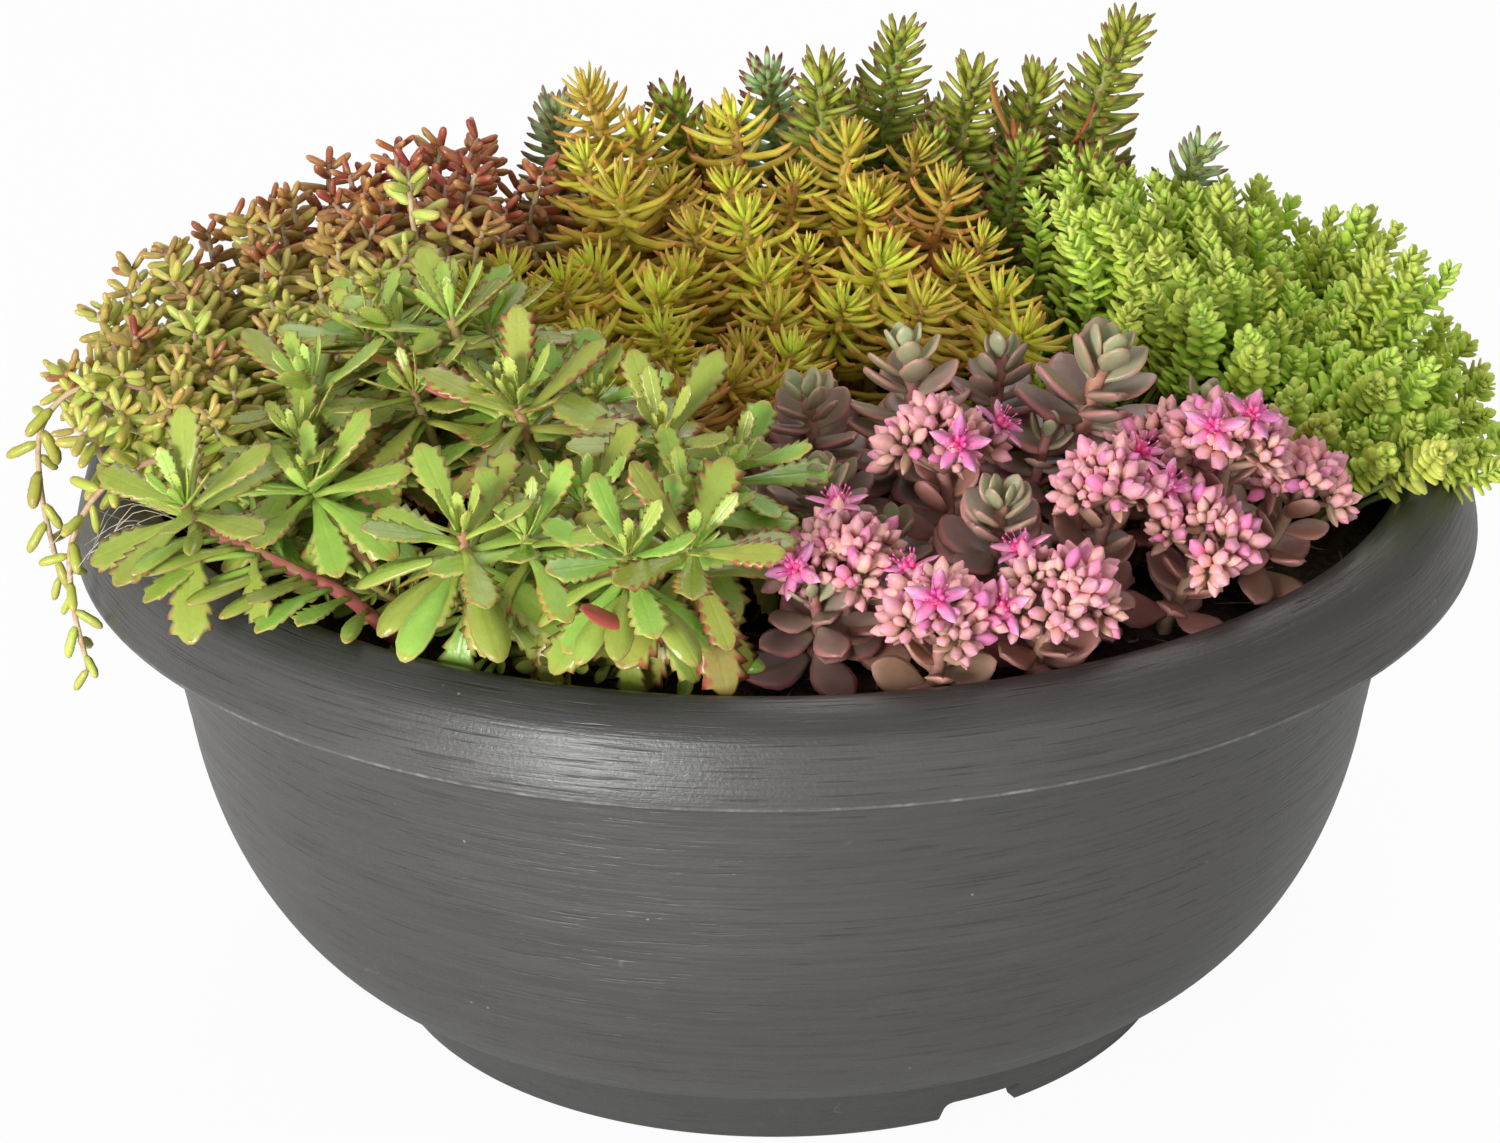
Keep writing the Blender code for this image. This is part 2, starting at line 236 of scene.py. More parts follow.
clear_selection()
bpy.ops.mesh.primitive_grid_add(x_subdivisions=8, y_subdivisions=8, size=FLOOR_SIZE)
floor = bpy.context.object
floor.name = "floor"
floor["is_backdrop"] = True
paper = Finish("pale_paper", Roughness=0.9)
paper.finish(Base_Color=paper.mix(paper.noise(0.4), (0.90, 0.90, 0.90), (0.92, 0.92, 0.92)))
white = paper.node("Emission", (1, 1, 1, 1), 1.0).outputs[0]
direct = paper.node("LightPath").outputs["Is Camera Ray"]
blend = paper.node("MixShader", paper.times(direct, FLOOR_LIFT),
                   paper.shader.outputs[0], white)
paper.feed(paper.tree.nodes["Material Output"].inputs["Surface"], blend.outputs[0])
paint(floor, paper.material)
print("floor:", FLOOR_SIZE, "m wide")

# %% Lamps
LAMPS = {                       # place and size in metres, power in watts
    "key": ((-1.06, -1.96, 0.52), 0.8, 48.0),
    "fill": ((1.10, -2.00, 0.95), 1.5, 2.8),
    "back": ((0.20, 1.30, 1.70), 1.5, 12.0),
}
AIM = np.array([0.0, 0.0, 0.12])

for name, (spot, size, power) in LAMPS.items():
    light = bpy.data.lights.new(name, "AREA")
    light.shape, light.size, light.energy = "DISK", size, power
    lamp = bpy.data.objects.new(name, light)
    back = np.array(spot) - AIM
    back /= np.linalg.norm(back)
    across = np.cross((0, 0, 1), back)
    across /= np.linalg.norm(across)
    aim(lamp, spot, across, np.cross(back, across), back)
    lamp.visible_camera = False
print(len(LAMPS), "soft lamps around", AIM)

# %% World
WORLD_LEVEL = 0.43              # of the light on the object; what the camera sees is plain white

sky = bpy.data.worlds.new("studio")
bpy.context.scene.world = sky
sky.use_nodes = True
nodes, links = sky.node_tree.nodes, sky.node_tree.links
shown = nodes.new("ShaderNodeBackground")
soft = nodes["Background"]
shown.inputs["Color"].default_value = (1, 1, 1, 1)
soft.inputs["Color"].default_value = (1.0, 0.99, 0.97, 1)
soft.inputs["Strength"].default_value = WORLD_LEVEL
choose = nodes.new("ShaderNodeMixShader")
links.new(nodes.new("ShaderNodeLightPath").outputs["Is Camera Ray"], choose.inputs[0])
links.new(soft.outputs[0], choose.inputs[1])
links.new(shown.outputs[0], choose.inputs[2])
links.new(choose.outputs[0], nodes["World Output"].inputs["Surface"])
print("world at", WORLD_LEVEL)

# %% [markdown]
# ## Working with operators
# Every new piece starts as a primitive and is shaped in edit mode. These helpers add a
# primitive alone, pick corners by their place, and set a finished piece to ride on the bowl.

# %% Bench helpers
def start(primitive, name, **settings):
    """Add one primitive and open it in edit mode with all of it selected."""
    clear_selection()
    primitive(**settings)
    made = bpy.context.object
    made.name = made.data.name = name
    bpy.ops.object.transform_apply(location=True, rotation=True, scale=True)
    bpy.ops.object.mode_set(mode="EDIT")
    bpy.ops.mesh.select_mode(type="VERT")
    bpy.ops.mesh.select_all(action="SELECT")
    return made


def pick(made, test):
    """Select the corners whose place passes the test."""
    bpy.ops.mesh.select_all(action="DESELECT")
    work = bmesh.from_edit_mesh(made.data)
    for corner in work.verts:
        corner.select = bool(test(corner.co))
    work.select_flush(True)
    bmesh.update_edit_mesh(made.data)


def apply_modifiers(made):
    """Apply all the modifiers of one piece, in their order."""
    clear_selection()
    bpy.context.view_layer.objects.active = made
    made.select_set(True)
    for modifier in list(made.modifiers):
        bpy.ops.object.modifier_apply(modifier=modifier.name)


def settle(made, slot, *stands_for):
    """Hand a finished piece over: it rides on the one body and stands for its CAD nodes."""
    clear_selection()
    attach(made, "root")
    if stands_for:
        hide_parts(*stands_for)
    return made


# %% [markdown]
# ## The bowl
# The real bowl is moulded plastic with a fine brushed grain that runs round it, a rolled rim
# that turns down in front of a collar, and a foot with three low notches that let water out. A
# half section drawn as a chain of corners and spun once round the axis gives it in one go,
# which is how a turned or moulded shape is best made.

# %% Measures of the bowl
WALL = 3.0 * MM
rim_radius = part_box("bowl")[1].x
rim_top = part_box("bowl")[1].z
RIM_EDGE = 125.0 * MM           # height of the rim's lower edge
CREST = 160.5 * MM              # radius of the rim's highest circle
LIP_ROOT = 138.0 * MM           # height where the lip's underside meets the collar
MOUTH = (156.4 * MM, 144.6 * MM)  # radius and height of the mouth's inner edge
COLLAR = ((156.4 * MM, 118.0 * MM), (149.6 * MM, 84.5 * MM))  # the same, at its top and foot
BELLY = ((97.1 * MM, 100.0 * MM), (53.4 * MM, 86.0 * MM))  # an ellipse's centre and half axes
BELLY_FOOT = 20.5 * MM          # height where the belly meets the foot
FLOOR_UNDER = 18.5 * MM         # height of the floor's underside
FOOT = (110.5 * MM, 99.9 * MM)  # radius at the top and at the bottom
FOOT_WALL = 4.4 * MM
STEP = 0.35 * MM                # the small ledge where the belly starts
NICK = 0.9 * MM                 # how far the moulded corners are broken
LIP_INSIDE = (2.9 * MM, 1.5 * MM)  # from the rim's outside to its inside: inwards and down
FLOOR_RING = 50 * MM            # a ring of corners half way across the flat floor
SPIN_STEPS = 200
# The rim's outside: a rounded top, a firm bend and a nearly straight front, as drops from the
# crest in mm (outwards, downwards).
RIM_DROPS = [(1.5, 0.1), (3.4, 0.5), (5.6, 1.3), (7.7, 2.5), (9.4, 4.0), (10.7, 5.8), (11.6, 8.0),
             (12.5, 11.0), (13.4, 14.2), (14.1, 17.2), (14.45, 19.0)]
print("rim: radius", round(rim_radius / MM, 1), "mm, top at", round(rim_top / MM, 1), "mm")


# %% Arcs of the section
def arc(centre, axes, first, last, steps):
    """Points on an ellipse, from one angle to another in degrees."""
    turn = np.radians(np.linspace(first, last, steps + 1))
    return [(centre[0] + axes[0] * math.cos(a), centre[1] + axes[1] * math.sin(a)) for a in turn]


def belly(inset, low, high, steps):
    """The belly's curve between two heights, moved inwards by inset."""
    centre, axes = BELLY[0], (BELLY[1][0] - inset, BELLY[1][1] - inset)
    first, last = (math.degrees(math.asin((z - centre[1]) / axes[1])) for z in (low, high))
    return arc(centre, axes, first, last, steps)


print("belly:", len(belly(0.0, BELLY_FOOT, COLLAR[1][1], 26)), "corners")


# %% Section of the bowl
def bowl_section():
    """Outline of one half of the bowl, from the axis inside, over the rim, to the axis below."""
    edge = RIM_EDGE
    section = [(0.0, FLOOR_UNDER + WALL), (FLOOR_RING, FLOOR_UNDER + WALL)]
    section += belly(WALL, FLOOR_UNDER + WALL, COLLAR[1][1], 14)
    section += [(COLLAR[0][0] - WALL, COLLAR[0][1]), (MOUTH[0] - 0.5 * MM, MOUTH[1] - 1.6 * MM)]
    section += [MOUTH, (MOUTH[0] + 1.3 * MM, MOUTH[1] + 1.2 * MM), (CREST, rim_top)]
    section += [(CREST + out * MM, rim_top - drop * MM) for out, drop in RIM_DROPS]
    section += [(rim_radius, edge + 1.6 * MM), (rim_radius + 0.1 * MM, edge + 0.9 * MM),
                (rim_radius, edge + 0.4 * MM), (rim_radius - 0.5 * MM, edge),
                (rim_radius - WALL + NICK, edge), (rim_radius - WALL, edge + NICK)]
    section += [(CREST + out * MM - LIP_INSIDE[0], rim_top - drop * MM - LIP_INSIDE[1])
                for out, drop in RIM_DROPS[8:3:-1]]
    section += [(COLLAR[0][0] + WALL / 2, LIP_ROOT), (COLLAR[0][0] + 0.3 * MM, LIP_ROOT - NICK)]
    section += [COLLAR[0], (COLLAR[1][0] + STEP, COLLAR[1][1] + 0.8 * MM)]
    section += [(COLLAR[1][0] + STEP, COLLAR[1][1] + 0.3 * MM)]
    section += list(reversed(belly(0.0, BELLY_FOOT, COLLAR[1][1], 26)))
    section += [(FOOT[0] + 0.4 * MM, BELLY_FOOT - 0.9 * MM), (FOOT[0], FLOOR_UNDER)]
    section += [(FOOT[1] + 0.3 * MM, 0.8 * MM), (FOOT[1] - 0.5 * MM, 0.0)]
    section += [(FOOT[1] - FOOT_WALL + 0.5 * MM, 0.0), (FOOT[1] - FOOT_WALL, 0.8 * MM)]
    section += [(FOOT[0] - FOOT_WALL, FLOOR_UNDER), (FLOOR_RING, FLOOR_UNDER), (0.0, FLOOR_UNDER)]
    return section


print("bowl section:", len(bowl_section()), "corners")


# %% Spin the bowl
def spin_section(name, section, steps):
    """Draw the section corner by corner with extrude, then spin it round the axis."""
    made = start(bpy.ops.mesh.primitive_plane_add, name, size=0.01)
    bpy.ops.mesh.merge(type="CENTER")
    bpy.ops.transform.translate(value=(section[0][0], 0, section[0][1]))
    for before, after in zip(section, section[1:]):
        move = (after[0] - before[0], 0, after[1] - before[1])
        bpy.ops.mesh.extrude_vertices_move(TRANSFORM_OT_translate={"value": move})
    bpy.ops.mesh.select_all(action="SELECT")
    bpy.ops.mesh.spin(steps=steps, angle=math.tau, center=(0, 0, 0), axis=(0, 0, 1))
    bpy.ops.mesh.select_all(action="SELECT")
    bpy.ops.mesh.remove_doubles(threshold=0.01 * MM)
    bpy.ops.mesh.normals_make_consistent(inside=False)
    bpy.ops.object.mode_set(mode="OBJECT")
    return made


bowl = spin_section("bowl_shell", bowl_section(), SPIN_STEPS)
print("bowl:", len(bowl.data.polygons), "faces")

# %% [markdown]
# ### Notches and drain holes
# Water leaves by seven holes in the floor and by three low notches in the foot. They could be
# part of the mould's section only if they ran all round, so they are cut afterwards: a boolean
# takes a bevelled block out of the foot three times, and a cylinder out of the floor seven times.

# %% Notches in the foot and drain holes
NOTCH = (22.0 * MM, 6.5 * MM)   # width and height
NOTCHES_AT = (29, 149, 269)     # degrees from the front, towards +X
HOLE_RADIUS = 5 * MM
HOLE_CIRCLE = 62 * MM           # radius of the circle on which six of the holes lie
HOLES_AT = [(0.0, 0.0)] + [(HOLE_CIRCLE * math.cos(a), HOLE_CIRCLE * math.sin(a))
                           for a in np.arange(6) * math.tau / 6]


def cut_away(made, cutter):
    """Take the cutter's shape out of a piece."""
    boolean = made.modifiers.new(cutter.name, "BOOLEAN")
    boolean.object, boolean.solver, boolean.operation = cutter, "EXACT", "DIFFERENCE"
    apply_modifiers(made)
    bpy.data.objects.remove(cutter)


for degrees in NOTCHES_AT:
    heading = math.radians(degrees)
    out = FOOT[1] - FOOT_WALL / 2
    cutter = start(bpy.ops.mesh.primitive_cube_add, "notch", size=1.0,
                   location=(out * math.sin(heading), -out * math.cos(heading), 0),
                   rotation=(0, 0, heading), scale=(NOTCH[0], 20 * MM, 2 * NOTCH[1]))
    bpy.ops.mesh.bevel(offset=2.0 * MM, segments=3)
    cut_away(bowl, cutter)
for spot in HOLES_AT:
    cutter = start(bpy.ops.mesh.primitive_cylinder_add, "drain", vertices=24,
                   radius=HOLE_RADIUS, depth=4 * WALL, location=(*spot, FLOOR_UNDER))
    cut_away(bowl, cutter)
bpy.ops.object.shade_smooth_by_angle(angle=math.radians(40))
print("bowl with outlets:", len(bowl.data.polygons), "faces")

# %% [markdown]
# ### Brushed plastic
# The grain runs round the bowl, so the noise is stretched along the circle and squeezed across
# it. Height works across the grain on the upright parts, and distance from the axis on the flat
# ones, so the two are added. A thin pale line follows the lower edge of the rim, painted shade
# darkens the rim's top, and a few specks and scuffs lie on the outside.

# %% Grain that runs round
def grain(skin, x, y, out, across, fine, long, detail):
    """Noise with strokes of 1/fine metres across and long of them in a radian."""
    turn = skin.node("CombineXYZ", skin.sum("DIVIDE", x, out), skin.sum("DIVIDE", y, out),
                     skin.times(across, fine / long)).outputs[0]
    return skin.noise(1.0 / long, detail, 0.6, turn)


GRAINS = {                      # strokes across a metre, strokes in a radian, detail
    "fine": (1100.0, 5.0, 3.0), "broad": (330.0, 2.2, 3.0), "wide": (45.0, 1.2, 2.0),
    "scratch": (1500.0, 7.0, 1.0),
}
print("kinds of grain:", list(GRAINS))


# %% A pale edge line and wear on the plastic
def pale_edge_line(skin, tone, out, z):
    """A thin pale line along the rim's lower edge, broken up by noise."""
    near = skin.sum("ABSOLUTE", skin.minus(z, RIM_EDGE + 0.9 * MM))
    line = skin.fade(near, 0.15 * MM, 0.5 * MM, 1.0, 0.0)
    line = skin.times(line, skin.fade(out, rim_radius - 1 * MM, rim_radius - 0.4 * MM))
    breakup = skin.fade(skin.noise(7 * MM, 3.0, 0.7), 0.45, 0.72, 0.25, 1.0)
    return skin.mix(skin.times(skin.times(line, breakup), 0.6), tone, (0.34, 0.33, 0.30))


def specks_and_scuffs(skin, tone):
    """Dust specks and short pale scuffs, in a few places only."""
    specks = skin.node("TexVoronoi", skin.place(), None, 150.0, feature="F1").outputs[0]
    chosen = skin.fade(skin.noise(22 * MM, 1.0), 0.60, 0.66)
    specks = skin.times(skin.fade(specks, 0.03, 0.07, 1.0, 0.0), chosen)
    tone = skin.mix(skin.times(specks, 0.6), tone, (0.40, 0.39, 0.36))
    chosen = skin.fade(skin.noise(30 * MM, 2.0, 0.6), 0.66, 0.72)
    scuff = skin.times(skin.threads(24 * MM, 0.006, 2.0), chosen)
    return skin.mix(skin.times(scuff, 0.3), tone, (0.30, 0.30, 0.29))


print("wear: a line at", round((RIM_EDGE + 0.9 * MM) / MM, 1), "mm, specks and scuffs")


# %% Bowl finish
def brushed_plastic():
    """Dark plastic with its grain, painted shade on the rim's top, a dusty foot and its wear."""
    skin = Finish("brushed_anthracite", Specular_IOR_Level=0.55)
    x, y, z = skin.node("SeparateXYZ", skin.place()).outputs
    out = skin.sum("SQRT", skin.plus(skin.times(x, x), skin.times(y, y)))
    across = skin.plus(z, skin.times(out, -0.55))
    fine, broad, wide, scratch = (grain(skin, x, y, out, across, *kind)
                                  for kind in GRAINS.values())
    scratch = skin.fade(scratch, 0.60, 0.74)
    pits = skin.noise(1.0 * MM, 2.0, 0.6)
    cloud = skin.noise(60 * MM, 3.0)
    tone = skin.mix(skin.fade(fine, 0.3, 0.7), (0.054, 0.053, 0.051), (0.074, 0.072, 0.070))
    tone = skin.mix(skin.fade(broad, 0.35, 0.7, 0.0, 0.45), tone, (0.083, 0.081, 0.078))
    tone = skin.mix(skin.fade(wide, 0.35, 0.7, 0.0, 0.3), tone, (0.050, 0.049, 0.048))
    tone = skin.mix(skin.fade(cloud, 0.45, 0.7, 0.0, 0.25), tone, (0.050, 0.051, 0.048))
    tone = skin.mix(skin.times(scratch, 0.4), tone, (0.030, 0.029, 0.028))
    tone = skin.mix(skin.fade(z, 17 * MM, 20 * MM, 0.45, 0.0), tone, (0.055, 0.060, 0.050))
    # Painted shade: the up-facing rim top and the mouth's lip, above about 140 mm, are darkened.
    inside = skin.times(skin.fade(z, 139 * MM, 143 * MM), 0.55)
    tone = skin.mix(inside, tone, (0.040, 0.039, 0.038))
    tone = specks_and_scuffs(skin, pale_edge_line(skin, tone, out, z))
    rough = skin.fade(fine, 0.25, 0.75, 0.33, 0.46)
    height = skin.plus(skin.times(fine, 0.8), skin.times(broad, 0.9))
    height = skin.plus(height, skin.times(pits, 0.45))
    height = skin.minus(height, skin.times(scratch, 0.5))
    return skin.finish(Base_Color=tone, Roughness=rough, Normal=skin.bump(height, 0.24 * MM))


paint(bowl, brushed_plastic())
settle(bowl, "bowl", "bowl")
print("bowl finished:", bowl.data.materials[0].name)

# %% [markdown]
# ## Compost
# Dark peaty compost fills the bowl to a little under the rim. Between the plants its surface
# shows crumbs, bark and pale fibres. A bump in the finish alone would look flat where the light
# grazes it, so the bed's own surface is moved: it is spun like the bowl, with many rings, and
# three sizes of cloud lift it into lumps and crumbs. Loose crumbs and fibres are laid on it later.

# %% Bed of compost
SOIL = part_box("compost")[1].z
BED_RADIUS = 151.5 * MM
BED_GAP = 0.3 * MM              # air between the compost and the bowl
BED_SIDE = (153.1 * MM, 153.3 * MM)  # radius at the collar and just under the surface
BED_SLOPE = 146 * MM            # beyond this radius the surface starts to sink
BED_RINGS, BED_STEPS = 48, 150
LUMPS = ((14 * MM, 3.2 * MM), (4.5 * MM, 1.9 * MM), (1.8 * MM, 0.9 * MM))  # size and height


def compost_section():
    """Outline of one half of the compost, from its underside to the middle of its surface."""
    under = FLOOR_UNDER + WALL + BED_GAP
    section = [(0.0, under), (60 * MM, under)]
    section += belly(WALL + BED_GAP, under, COLLAR[1][1], 8)
    section += [(BED_SIDE[0], COLLAR[0][1]), (BED_SIDE[1], SOIL - 3.5 * MM),
                (BED_RADIUS, SOIL - 1 * MM)]
    radii = np.linspace(BED_RADIUS - 2 * MM, 2 * MM, BED_RINGS)
    return section + [(r, SOIL - (0.6 * MM if r > BED_SLOPE else 0.0)) for r in radii] + [
        (0.0, SOIL)]


def compost_bed():
    """Spin the compost and lift its upper side with clouds."""
    made = spin_section("compost_bed", compost_section(), BED_STEPS)
    upper = made.vertex_groups.new(name="upper")
    top = [v.index for v in made.data.vertices
           if v.co.z > SOIL - 2 * MM and math.hypot(v.co.x, v.co.y) < BED_RADIUS]
    upper.add(top, 1.0, "REPLACE")
    for size, strength in LUMPS:
        cloud = bpy.data.textures.new("soil_cloud", "CLOUDS")
        cloud.noise_scale = size
        rise = made.modifiers.new("rise", "DISPLACE")
        rise.texture, rise.strength, rise.vertex_group = cloud, strength, "upper"
        rise.texture_coords, rise.mid_level = "LOCAL", 0.45
        rise.direction = "Z"
    apply_modifiers(made)
    made.vertex_groups.clear()
    made.data.shade_smooth()
    return made


compost = compost_bed()
print("compost:", len(compost.data.polygons), "faces")

# %% Compost finish
def peat():
    """Brown crumbs, paler patches and thin pale threads."""
    soil = Finish("peaty_compost", Specular_IOR_Level=0.25)
    crumb = soil.noise(2.2 * MM, 4.0, 0.7)
    patch = soil.noise(12 * MM, 3.0, 0.6)
    tone = soil.mix(soil.fade(crumb, 0.35, 0.65), (0.010, 0.006, 0.004), (0.042, 0.026, 0.016))
    tone = soil.mix(soil.fade(patch, 0.5, 0.7, 0.0, 0.5), tone, (0.064, 0.040, 0.025))
    tone = soil.mix(soil.times(soil.threads(3.8 * MM, 0.014), 0.4), tone, (0.17, 0.11, 0.065))
    return soil.finish(Base_Color=tone, Roughness=soil.fade(crumb, 0.3, 0.7, 0.95, 0.7),
                       Normal=soil.bump(crumb, 0.8 * MM))


peat_finish = peat()
paint(compost, peat_finish)
settle(compost, "compost", "compost")
print("compost finished:", peat_finish.name)

# %% [markdown]
# ## Copying thousands of leaves
# A stonecrop has far too many leaves to place by hand. Each kind of leaf is modelled once with
# operators. Its corners are then read as numbers, and every copy is bent, turned, scaled and
# placed in one sum for the whole plant. Each corner also keeps notes for the finish: "blade"
# says how far along the leaf and how near its edge it is, and how old the leaf is, and "mood"
# holds chance differences between leaves and marks such as the points of teeth.

# %% Reading a modelled shape
class Shape:
    """The corners and faces of one modelled leaf, bud or crumb that points along +Y."""

    def __init__(self, made, marked=None):
        bpy.ops.object.mode_set(mode="OBJECT")
        mesh = made.data
        self.corners = np.array([v.co for v in mesh.vertices])
        self.loops = np.array([l.vertex_index for l in mesh.loops])
        self.sizes = np.array([p.loop_total for p in mesh.polygons])
        across, ahead, _ = self.corners.T
        self.length = ahead.max()
        self.along = np.clip(ahead / self.length, 0, 1)
        same_row = np.abs(ahead[:, None] - ahead[None]) < 0.3 * MM
        widest = (same_row * np.abs(across)[None]).max(1)
        self.edge = np.clip(np.abs(across) / np.maximum(widest, 1e-5), 0, 1)
        self.mark = np.array([float(bool(marked and marked(v.co))) for v in mesh.vertices])
        bpy.data.objects.remove(made)


# %% Drawing a leaf
def draw_leaf(name, sides, sections, fold=0.0):
    """Draw a leaf along +Y out of a flat end face, one section after another.

    A section is (distance from the base, width, thickness) in mm; fold sinks the middle.
    """
    first = sections[0]
    made = start(bpy.ops.mesh.primitive_circle_add, name, vertices=sides, radius=0.5 * MM,
                 fill_type="NGON", rotation=(math.pi / 2, 0, 0))
    bpy.ops.transform.resize(value=(first[1], 1, first[2]), center_override=(0, 0, 0))
    for before, after in zip(sections, sections[1:]):
        reach = (after[0] - before[0]) * MM
        bpy.ops.mesh.extrude_region_move(TRANSFORM_OT_translate={"value": (0, reach, 0)})
        bpy.ops.transform.resize(value=(after[1] / before[1], 1, after[2] / before[2]),
                                 center_override=(0, after[0] * MM, 0))
    if fold:
        middle = sections[len(sections) // 3][0] * MM
        pick(made, lambda co: abs(co.x) < 0.05 * MM and co.y > middle)
        bpy.ops.transform.translate(value=(0, 0, -fold * MM))
    bpy.ops.mesh.select_all(action="SELECT")
    bpy.ops.mesh.normals_make_consistent(inside=False)
    return made


# %% Gathering bent copies into one mesh
class Bunch:
    """Collects copies of shapes, and stems, and makes one mesh of them."""

    def __init__(self):
        self.corners, self.loops, self.sizes = [], [], []
        self.blade, self.mood, self.finish = [], [], []
        self.count = 0

    def keep(self, corners, loops, sizes, blade, mood, finish):
        """Add corners and faces to what is gathered, with their notes and finish."""
        self.corners.append(corners)
        self.loops.append(loops + self.count)
        self.sizes.append(sizes)
        self.blade.append(np.stack(blade, axis=-1).reshape(-1, 3))
        self.mood.append(np.stack(mood, axis=-1).reshape(-1, 3))
        self.finish.append(np.full(len(sizes), finish))
        self.count += len(corners)

    def copies(self, shape, spots, axes, scales, bends, age, tint, blush, finish=0, wide=1.0):
        """Copies of a shape: axes holds the three directions of each copy as columns."""
        n, k = len(spots), len(shape.corners)
        x, y, z = shape.corners.T
        curl = (np.asarray(bends) / shape.length)[:, None]
        curl = np.where(np.abs(curl) < 1e-3, 1e-3, curl)
        angle = curl * y
        bent = np.stack([np.broadcast_to(x, (n, k)) * np.reshape(wide, (-1, 1)),
                         np.sin(angle) / curl - z * np.sin(angle),
                         (1 - np.cos(angle)) / curl + z * np.cos(angle)], axis=2)
        bent = bent * np.reshape(scales, (-1, 1, 1))
        world = np.einsum("nij,nkj->nki", axes, bent) + spots[:, None, :]
        loops = (shape.loops[None, :] + k * np.arange(n)[:, None]).ravel()
        spread = lambda value: np.broadcast_to(np.reshape(value, (-1, 1)), (n, k))
        same = lambda value: np.broadcast_to(value, (n, k))
        self.keep(world.reshape(-1, 3), loops, np.tile(shape.sizes, n),
                  (same(shape.along), same(shape.edge), spread(age)),
                  (spread(tint), spread(blush), same(shape.mark)), finish)

    def stem(self, path, radii, tint=0.5, blush=0.5, sides=6, finish=1):
        """A closed round stem along a path."""
        _, side, other = frames(path)
        turn = np.arange(sides) * math.tau / sides
        ring = (np.cos(turn)[None, :, None] * side[:, None, :]
                + np.sin(turn)[None, :, None] * other[:, None, :])
        radii = np.broadcast_to(radii, len(path))
        corners = (path[:, None, :] + ring * radii[:, None, None]).reshape(-1, 3)
        rows, here = len(path), np.arange(sides)
        after = (here + 1) % sides
        quads = [np.stack([i * sides + here, i * sides + after, (i + 1) * sides + after,
                           (i + 1) * sides + here], axis=1) for i in range(rows - 1)]
        loops = np.concatenate([np.concatenate(quads).ravel(), here[::-1],
                                (rows - 1) * sides + here])
        sizes = np.array([4] * (sides * (rows - 1)) + [sides, sides])
        along = np.repeat(np.linspace(0, 1, rows), sides)
        even = lambda value: np.full_like(along, value)
        self.keep(corners, loops, sizes, (along, even(0.5), 1 - along),
                  (even(tint), even(blush), even(0.0)), finish)

    def make(self, name, slot, finishes, *stands_for):
        """Turn everything gathered into one smooth object that rides on the bowl."""
        mesh = bpy.data.meshes.new(name)
        corners = np.concatenate(self.corners)
        loops, sizes = np.concatenate(self.loops), np.concatenate(self.sizes)
        mesh.vertices.add(len(corners))
        mesh.vertices.foreach_set("co", corners.astype(np.float32).ravel())
        mesh.loops.add(len(loops))
        mesh.loops.foreach_set("vertex_index", loops.astype(np.int32))
        mesh.polygons.add(len(sizes))
        starts = np.concatenate([[0], np.cumsum(sizes)[:-1]])
        mesh.polygons.foreach_set("loop_start", starts.astype(np.int32))
        mesh.update(calc_edges=True)
        mesh.polygons.foreach_set("material_index", np.concatenate(self.finish).astype(np.int32))
        for label, values in (("blade", self.blade), ("mood", self.mood)):
            told = mesh.attributes.new(label, "FLOAT_VECTOR", "POINT")
            told.data.foreach_set("vector", np.concatenate(values).astype(np.float32).ravel())
        mesh.shade_smooth()
        for finish in finishes:
            mesh.materials.append(finish)
        made = bpy.data.objects.new(name, mesh)
        bpy.context.collection.objects.link(made)
        return settle(made, slot, *stands_for)


# %% [markdown]
# ## How a shoot grows
# A stem leaves the compost upright and leans outwards as it climbs. Its leaves stand round it at
# the golden angle or in crossed pairs, the lowest spread flat and the youngest held upright, and
# they grow smaller towards the tip. A few numbers for each plant say all of this. Particles or
# geometry nodes could scatter leaves too, but here each leaf's place is worked out from its
# stem, and every leaf ends up as plain mesh that any program can read.

# %% Directions
GOLDEN = math.radians(137.5)


def unit(vectors):
    """The same directions, each one long."""
    return vectors / np.linalg.norm(vectors, axis=-1, keepdims=True)


def frames(path):
    """At each point of a path: the way ahead, and two directions square to it."""
    ahead = unit(np.gradient(path, axis=0))
    last = np.array([1.0, 0.0, 0.0]) if abs(ahead[0][0]) < 0.8 else np.array([0.0, 1.0, 0.0])
    side = np.empty_like(ahead)
    for index, way in enumerate(ahead):
        last = unit(last - way * (last @ way))
        side[index] = last
    return ahead, side, np.cross(ahead, side)


def read_at(values, at):
    """What a path's points hold, read between them at fractional places."""
    steps = np.arange(len(values))
    return np.stack([np.interp(at, steps, values[:, i]) for i in range(3)], axis=1)


def from_axis(spot):
    """How far a place is from the bowl's axis."""
    return math.hypot(spot[0], spot[1])


print("golden angle:", round(math.degrees(GOLDEN), 1), "degrees")


# %% Ways for leaves to face
def square(across, ways):
    """Three directions for each copy, as columns: across it, along it and out of its face."""
    return np.stack([across, ways, np.cross(across, ways)], axis=2)


def face_up(ways, light=(0.0, -0.2, 1.0)):
    """Three directions for leaves that point along their ways and turn their faces up."""
    ways = unit(np.asarray(ways, float))
    return square(unit(np.cross(ways, light)), ways)


def point_along(ways, rng):
    """Three directions for each way, with a chance turn about it."""
    ways = unit(np.asarray(ways, float))
    return square(unit(np.cross(ways, unit(rng.normal(size=ways.shape)))), ways)


# %% Paths of stems
def climb(root, tip, way, steps=12):
    """A path that leaves the compost upright and reaches the tip along its way."""
    reach = np.linalg.norm(tip - root)
    points = [root, root + np.array([0, 0, 0.35 * reach]), tip - unit(way) * 0.5 * reach, tip]
    part = np.linspace(0, 1, steps)[:, None]
    weights = ((1 - part) ** 3, 3 * (1 - part) ** 2 * part, 3 * (1 - part) * part ** 2, part ** 3)
    return sum(weight * point for weight, point in zip(weights, points))


